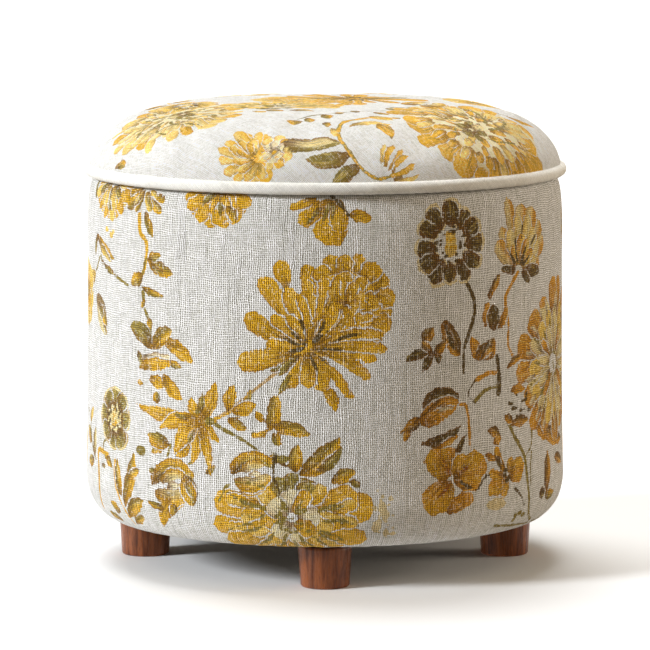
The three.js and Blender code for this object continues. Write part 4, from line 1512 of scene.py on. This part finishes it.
def lid_cover():
    """The printed cloth over the seat, from its hem under the board to the middle of the crown."""
    crown = resampled(crown_profile(), SEAT_STEP)[:-1]
    hidden = np.array([
        [LID_HEM_INNER, LID_HEM + CLOTH], [LID_HEM_INNER, LID_HEM], [LID_EDGE - 1.3, LID_HEM],
        [LID_EDGE, LID_HEM + 1.3], [LID_EDGE, PIPING_HEIGHT], [LID_EDGE + 0.8, PIPING_HEIGHT + 3.4],
    ])
    start = crown[0]
    rounding = quarter((start[0] - 3, start[1] + 0.4), (3, 3.4), 4, -1)[::-1][:-1]
    profile = np.vstack([hidden, rounding, crown])
    on_crown = np.arange(len(profile))[:, None] >= len(profile) - len(crown)

    turn, r, z = polar(profile, around_axis(SEAT_COLUMNS))
    fade = np.clip((z - (SEAT_SEAM - 1)) / SEAT_FADE, 0, 1)
    z = z + fade * lift_at(turn, r) * LIFT_KEPT
    x, y, _ = np.moveaxis(turned(r, turn, z), -1, 0)
    z = z + SEAT_WAVES * fade * wave(x, y, SEED + 5, 150)
    puckers = wave(turn * CROWN_RADIUS, z, SEED + 6, 24, 2)
    r = r + PUCKERS * bell(z - SEAT_SEAM, 9) * on_crown * puckers

    middle = [0, 0, z[-1].mean() + 0.03]
    flat = lengths(profile[::-1])[::-1]
    made, cloth = round_cloth("seat_cushion", turned(r, turn, z), middle, turn, flat)
    pattern = Print(cloth[:, 0], cloth[:, 1], SEED + 3, unrolled)
    seat_print(pattern)
    add_print(made, pattern)
    # The seat's level, higher than the side cloth's, is painted light from above
    paint(made, printed_linen(
        "seat_linen_cloth", pitch=1.35, streak=14, slub=0.08, contrast=0.68, rough=1.8, gap=SEAT_GAP,
        level=1.22, turn=math.radians(40)))
    settle(made, "lid", "lid_linen", "lid_cover", "lid_wadding", "lid_foam")


def piping():
    """A cloth sleeve sewn over a cord, with its join at the back."""
    turn, section = np.meshgrid(around_axis(PIPING_COLUMNS), around_axis(PIPING_ROWS), indexing="ij")
    along = turn * PIPING_CIRCLE
    radius = PIPING_RADIUS + SLEEVE_WAVES * wave(along, section * 5, SEED + 8, 22)
    slant = along + section * PIPING_RADIUS * 1.5
    pull = np.sin(slant * 2 * math.pi / PULL_PITCH + 2.2 * wave(slant, 0 * along, SEED + 9, 34))
    radius = radius + PULL * pull * np.clip(0.45 + wave(along, section * 5, SEED + 10, 55), 0.12, 1)
    back = math.pi * PIPING_CIRCLE - np.abs(along)
    lap = np.where(along > 0, 1, 0) * np.clip(1 - back / LAP_LENGTH, 0, 1) ** 0.2 * (back < LAP_LENGTH)
    radius = radius + LAP * lap
    grid = turned(PIPING_CIRCLE + radius * np.cos(section), turn, PIPING_HEIGHT + radius * np.sin(section))
    index = np.arange(turn.size).reshape(turn.shape)
    onward = np.roll(index, -1, axis=0)
    quads = np.stack([index, onward, np.roll(onward, -1, axis=1), np.roll(index, -1, axis=1)], axis=-1)
    made = mesh_object("lid_piping", grid.reshape(-1, 3), quads.reshape(-1, 4).tolist())
    give_cloth(made, along, section * PIPING_RADIUS, 0 * along)
    light, dark = srgb(242, 240, 234), srgb(230, 227, 218)
    paint(made, plain_cloth("piping_linen_cloth", light, dark, 1.2, 0.0006, 0.5, math.pi / 4))
    settle(made, "lid", "piping_linen", "piping_sleeve", "piping_cord")


def foot(side, material):
    """A turned foot, a little wider at its top."""
    low, high = box(f"foot_{side}")
    center = ((low[0] + high[0]) / 2, (low[1] + high[1]) / 2)
    edge = quarter((FOOT_BOTTOM_RADIUS - FOOT_EDGE, FOOT_EDGE), (FOOT_EDGE, FOOT_EDGE), 8, -1)[::-1]
    up = np.linspace(FOOT_EDGE, FOOT_HEIGHT - 0.6, 16)[1:]
    share = (up - FOOT_EDGE) / (FOOT_HEIGHT - FOOT_EDGE)
    side_line = np.column_stack([FOOT_BOTTOM_RADIUS + (FOOT_TOP_RADIUS - FOOT_BOTTOM_RADIUS) * share, up])
    top = np.array([[FOOT_TOP_RADIUS - 0.5, FOOT_HEIGHT], [0, FOOT_HEIGHT]])
    profile = np.vstack([[[0, 0], [8, 0], [14, 0]], edge, side_line, top])
    made = revolved(f"turned_foot_{side}", profile, FOOT_SIDES, center)
    paint(made, material)
    settle(made, "drum", "walnut", f"foot_{side}")


def lining():
    """The cloth glued inside the wall, with its edge turned at the top and a seam at the back."""
    inner, bottom, top = WALL_RADIUS, LINING_LOW[2], LINING_HIGH[2]
    turned_in = 1.1
    levels = np.concatenate([np.linspace(bottom, top - 14, 40), np.linspace(top - 12, top, 8)])
    profile = [(inner + turned_in, bottom)] + [(inner, z) for z in levels] + [(inner + turned_in, top)]
    turn, r, z = polar(profile, around_axis(WALL_COLUMNS))
    along = turn * inner
    seam = math.pi * inner - np.abs(along)
    bulge = -0.25 * np.abs(wave(along, z, SEED + 9, 90))
    bulge = bulge + 0.35 * bell(z - (top - 11), 1.2) + 0.8 * bell(seam, 1.5)
    r = r + (r < inner + 0.5) * np.clip(bulge, -0.3, 1.0)
    made = grid_object("compartment_lining", turned(r, turn, z), True)
    made.data.flip_normals()
    give_cloth(made, along, z, 0 * z)
    paint(made, plain_cloth("lining_cotton", LINING_LIGHT, srgb(192, 181, 160), 0.7))
    settle(made, "drum", "lining", "lining_wall")
    high = top - bottom + 2 * turned_in
    wide = sheet_area(made) / (high * MM)
    high * MM


def disc_object(name, profile, columns, lift, turned_down=False):
    """A round cloth from its edge inwards; lift(x, y, r) moves its points up."""
    turn, r, z = polar(profile, around_axis(columns))
    x, y, _ = np.moveaxis(turned(r, turn, z), -1, 0)
    far = lengths(profile)
    middle = [0, 0, profile[-1, 1]]
    flat = profile[-1, 0] + far[-1] - far
    return round_cloth(name, turned(r, turn, z + lift(x, y, r)), middle, turn, flat, turned_down)[0]


def sheet_area(made):
    """The area of an object's faces, in square metres."""
    return sum(face.area for face in made.data.polygons)


def lining_floor():
    """The covered panel on the compartment's floor."""
    radius, low, high = FLOOR_HIGH[0], FLOOR_LOW[2], FLOOR_HIGH[2]
    bend = 1.1
    edge = quarter((radius - bend, high - bend), (bend, bend), 4)
    inner = np.array([[r, high] for r in np.linspace(radius - 6, 2, 50)])
    profile = np.vstack([[[radius, low + 0.1]], edge, inner])
    made = disc_object("compartment_floor", profile, DISC_COLUMNS, lambda x, y, r: (
        -0.25 * (r < radius - 5) * np.abs(wave(x, y, SEED + 12, 120))))
    paint(made, plain_cloth("floor_cotton", LINING_LIGHT, LINING_DARK, 0.7))
    settle(made, "drum", "lining", "lining_floor")


def lid_liner():
    """The cloth drawn over the locating disc under the lid."""
    radius, low, high = LINER_HIGH[0], LINER_LOW[2], LINER_HIGH[2]
    bend = 2.0
    corner = quarter((radius - bend, low + bend), (bend, bend), 6, -1)
    inner = np.array([[r, low] for r in np.linspace(radius - 6, 2, 50)])
    profile = np.vstack([[[radius, high]], corner, inner])
    made = disc_object("lid_underside", profile, DISC_COLUMNS, lambda x, y, r: (
        0.25 * (r < radius - 5) * np.abs(wave(x, y, SEED + 14, 110))), True)
    paint(made, plain_cloth("liner_cotton", LINING_LIGHT, LINING_DARK, 0.7))
    settle(made, "lid", "lining", "lid_liner")


def dust_cover():
    """Black non-woven cloth stapled over the hem under the base."""
    radius, low, high = DUST_HIGH[0], DUST_LOW[2], DUST_HIGH[2]
    outer = [[radius, high], [radius, low + 0.2], [radius - 1, low + 0.1]]
    inner = [[r, low] for r in np.linspace(radius - 4, 3, 60)]

    def slack(x, y, r):
        creases = np.abs(wave(x, y, SEED + 16, 130))
        feet = np.min([np.hypot(x - fx, y - fy) for fx, fy in foot_places()], axis=0)
        return 0.5 * creases * np.clip((radius - r) / 20, 0, 1) * np.clip((feet - 25) / 12, 0, 1)

    made = disc_object("dust_cloth_cover", np.vstack([outer, inner]), DUST_COLUMNS, slack, True)
    paint(made, felt("non_woven_black", srgb(58, 56, 52), srgb(26, 25, 23)))
    settle(made, "drum", "dust_cloth", "dust_cover")


def foot_places():
    """Where the feet stand, in plan."""
    return [tuple((box(f"foot_{side}")[0] + box(f"foot_{side}")[1])[:2] / 2) for side in SIDES]


def staples(name, count, place, body):
    """Wire staples in a row; place(i) gives each one's middle, its length's and its outward direction."""
    points, faces = [], []
    crown, leg, wire = 10.0, 1.2, 0.35  # the wire's half thickness
    line = [(-crown / 2, -leg), (-crown / 2, 0), (crown / 2, 0), (crown / 2, -leg)]
    for i in range(count):
        middle, run, out = place(i)
        side = np.cross(run, out)
        for (a, b), (c, d) in zip(line, line[1:]):
            normal = out if abs(c - a) > TINY else run
            f = len(points)
            for end in (middle + run * a + out * b, middle + run * c + out * d):
                points += [end + side * wire * u + normal * wire * v for u, v in CORNERS]
            faces += [[f, f + 1, f + 2, f + 3], [f + 4, f + 7, f + 6, f + 5]]
            faces += [[f + k, f + (k + 1) % 4, f + (k + 1) % 4 + 4, f + k + 4][::-1] for k in range(4)]
    made = mesh_object(name, points, faces, smooth=False)
    paint(made, STEEL)
    settle(made, body, "steel")


def around_at(turn):
    """Directions in plan: outwards from the axis, and along the circle to the right of the front."""
    return np.array([math.sin(turn), -math.cos(turn), 0]), np.array([math.cos(turn), math.sin(turn), 0])


def uneven_turns(random, count, first):
    """Angles round the axis, nearly even; first is the first one's place in steps."""
    return [2 * math.pi * (i + first) / count + random.uniform(-0.02, 0.02) for i in range(count)]


def tail_staples():
    """The staples that hold the side cloth's tail inside the rim."""
    random = np.random.default_rng(SEED + 20)
    turns = uneven_turns(random, TAIL_STAPLES, 0)
    tilts = random.uniform(-0.12, 0.12, TAIL_STAPLES)

    def place(i):
        outwards, run = around_at(turns[i])
        run[2] = tilts[i]
        run /= np.linalg.norm(run)
        return outwards * (TAIL_RADIUS - 0.35) + np.array([0, 0, DRUM_TOP - 9]), run, -outwards

    staples("tail_staples", TAIL_STAPLES, place, "drum")


def dust_staples():
    """The staples round the black cloth's edge."""
    random = np.random.default_rng(SEED + 21)
    turns = uneven_turns(random, DUST_STAPLES, 0.5)

    def place(i):
        outwards, run = around_at(turns[i])
        middle = outwards * (DUST_HIGH[0] - 5) + np.array([0, 0, DUST_LOW[2] - 0.2])
        return middle, run, np.array([0.0, 0.0, -1.0])

    staples("dust_cover_staples", DUST_STAPLES, place, "drum")


STEEL = steel()
WOOD = walnut()
PLYWOOD = plywood()

side_cover()
lid_cover()
piping()
for foot_side in SIDES:
    foot(foot_side, WOOD)
lining()
lining_floor()
lid_liner()
dust_cover()
tail_staples()
dust_staples()

FINISHES = {"plywood": PLYWOOD, "steel": STEEL}
for row in frame["record"]["subparts"]:
    if row["material_slot"] in FINISHES:
        node = frame["nodes"][row["node"]]
        paint(node, FINISHES[row["material_slot"]])


# The camera, at the photograph's place, and a plain studio

CAMERA_PLACE = (0, -3.827, 0.680)  # in metres
CAMERA_TILT = 0.1234
CAMERA_LENS = 240.4
FLOOR_NEAR, FLOOR_FAR = 225, 40000
FLOOR_SIDES = 64


def camera():
    """A camera that looks at the front and a little down."""
    data = bpy.data.cameras.new("camera")
    data.sensor_width = 36
    data.lens = CAMERA_LENS
    data.clip_end = 200
    made = bpy.data.objects.new("camera", data)
    made.location = CAMERA_PLACE
    made.rotation_euler = (math.pi / 2 - CAMERA_TILT, 0, 0)
    bpy.context.scene.collection.objects.link(made)
    bpy.context.scene.camera = made


def floor():
    """A plain floor in two flat pieces; only the near one, under the drum, shades it."""
    n = Nodes("pale_floor")
    cloud = n.noise(n.place(), 3.0, 2.0)
    material = n.finish(n.mix(cloud, (0.93, 0.925, 0.915, 1), (0.95, 0.945, 0.935, 1)), 0.8)
    angle = np.linspace(0, 2 * math.pi, FLOOR_SIDES + 1)[:-1]
    circle = np.column_stack([np.cos(angle), np.sin(angle), 0 * angle])
    disc = mesh_object("floor_near", circle * FLOOR_NEAR, [list(range(FLOOR_SIDES))])
    both = np.vstack([circle * FLOOR_NEAR, circle * FLOOR_FAR])
    ring = mesh_object("floor_far", both, grid_faces(2, FLOOR_SIDES, True))
    ring.data.flip_normals()
    for made in (disc, ring):
        paint(made, material)
        made.visible_shadow = False
    ring.visible_diffuse = False


def sun(name, from_left, elevation, strength, softness, colour):
    """A far light; from_left is in degrees from the camera's side towards the left."""
    data = bpy.data.lights.new(name, "SUN")
    data.energy = strength
    data.angle = math.radians(softness)
    data.color = colour
    made = bpy.data.objects.new(name, data)
    a, e = math.radians(from_left), math.radians(elevation)
    towards = Vector((-math.sin(a) * math.cos(e), -math.cos(a) * math.cos(e), math.sin(e)))
    made.rotation_euler = towards.to_track_quat("Z", "Y").to_euler()
    bpy.context.scene.collection.objects.link(made)


def studio():
    """Four far lights and a dim warm sky."""
    sun("key", 66, 24, 3.35, 14, (0.96, 1.0, 1.05))
    sun("bounce", 76, -30, 1.16, 50, (0.96, 1.0, 1.04))
    sun("rim", -94, 12, 1.5, 30, (1.03, 0.91, 0.76))
    sun("top", 160, 66, 2.75, 40, (0.965, 1.0, 1.03))
    world = bpy.data.worlds.new("studio")
    world.use_nodes = True
    background = world.node_tree.nodes["Background"].inputs
    background["Color"].default_value = (1.21, 0.98, 0.71, 1)
    background["Strength"].default_value = 0.185
    bpy.context.scene.world = world
    bpy.context.scene.view_settings.view_transform = "Standard"


camera()
floor()
studio()
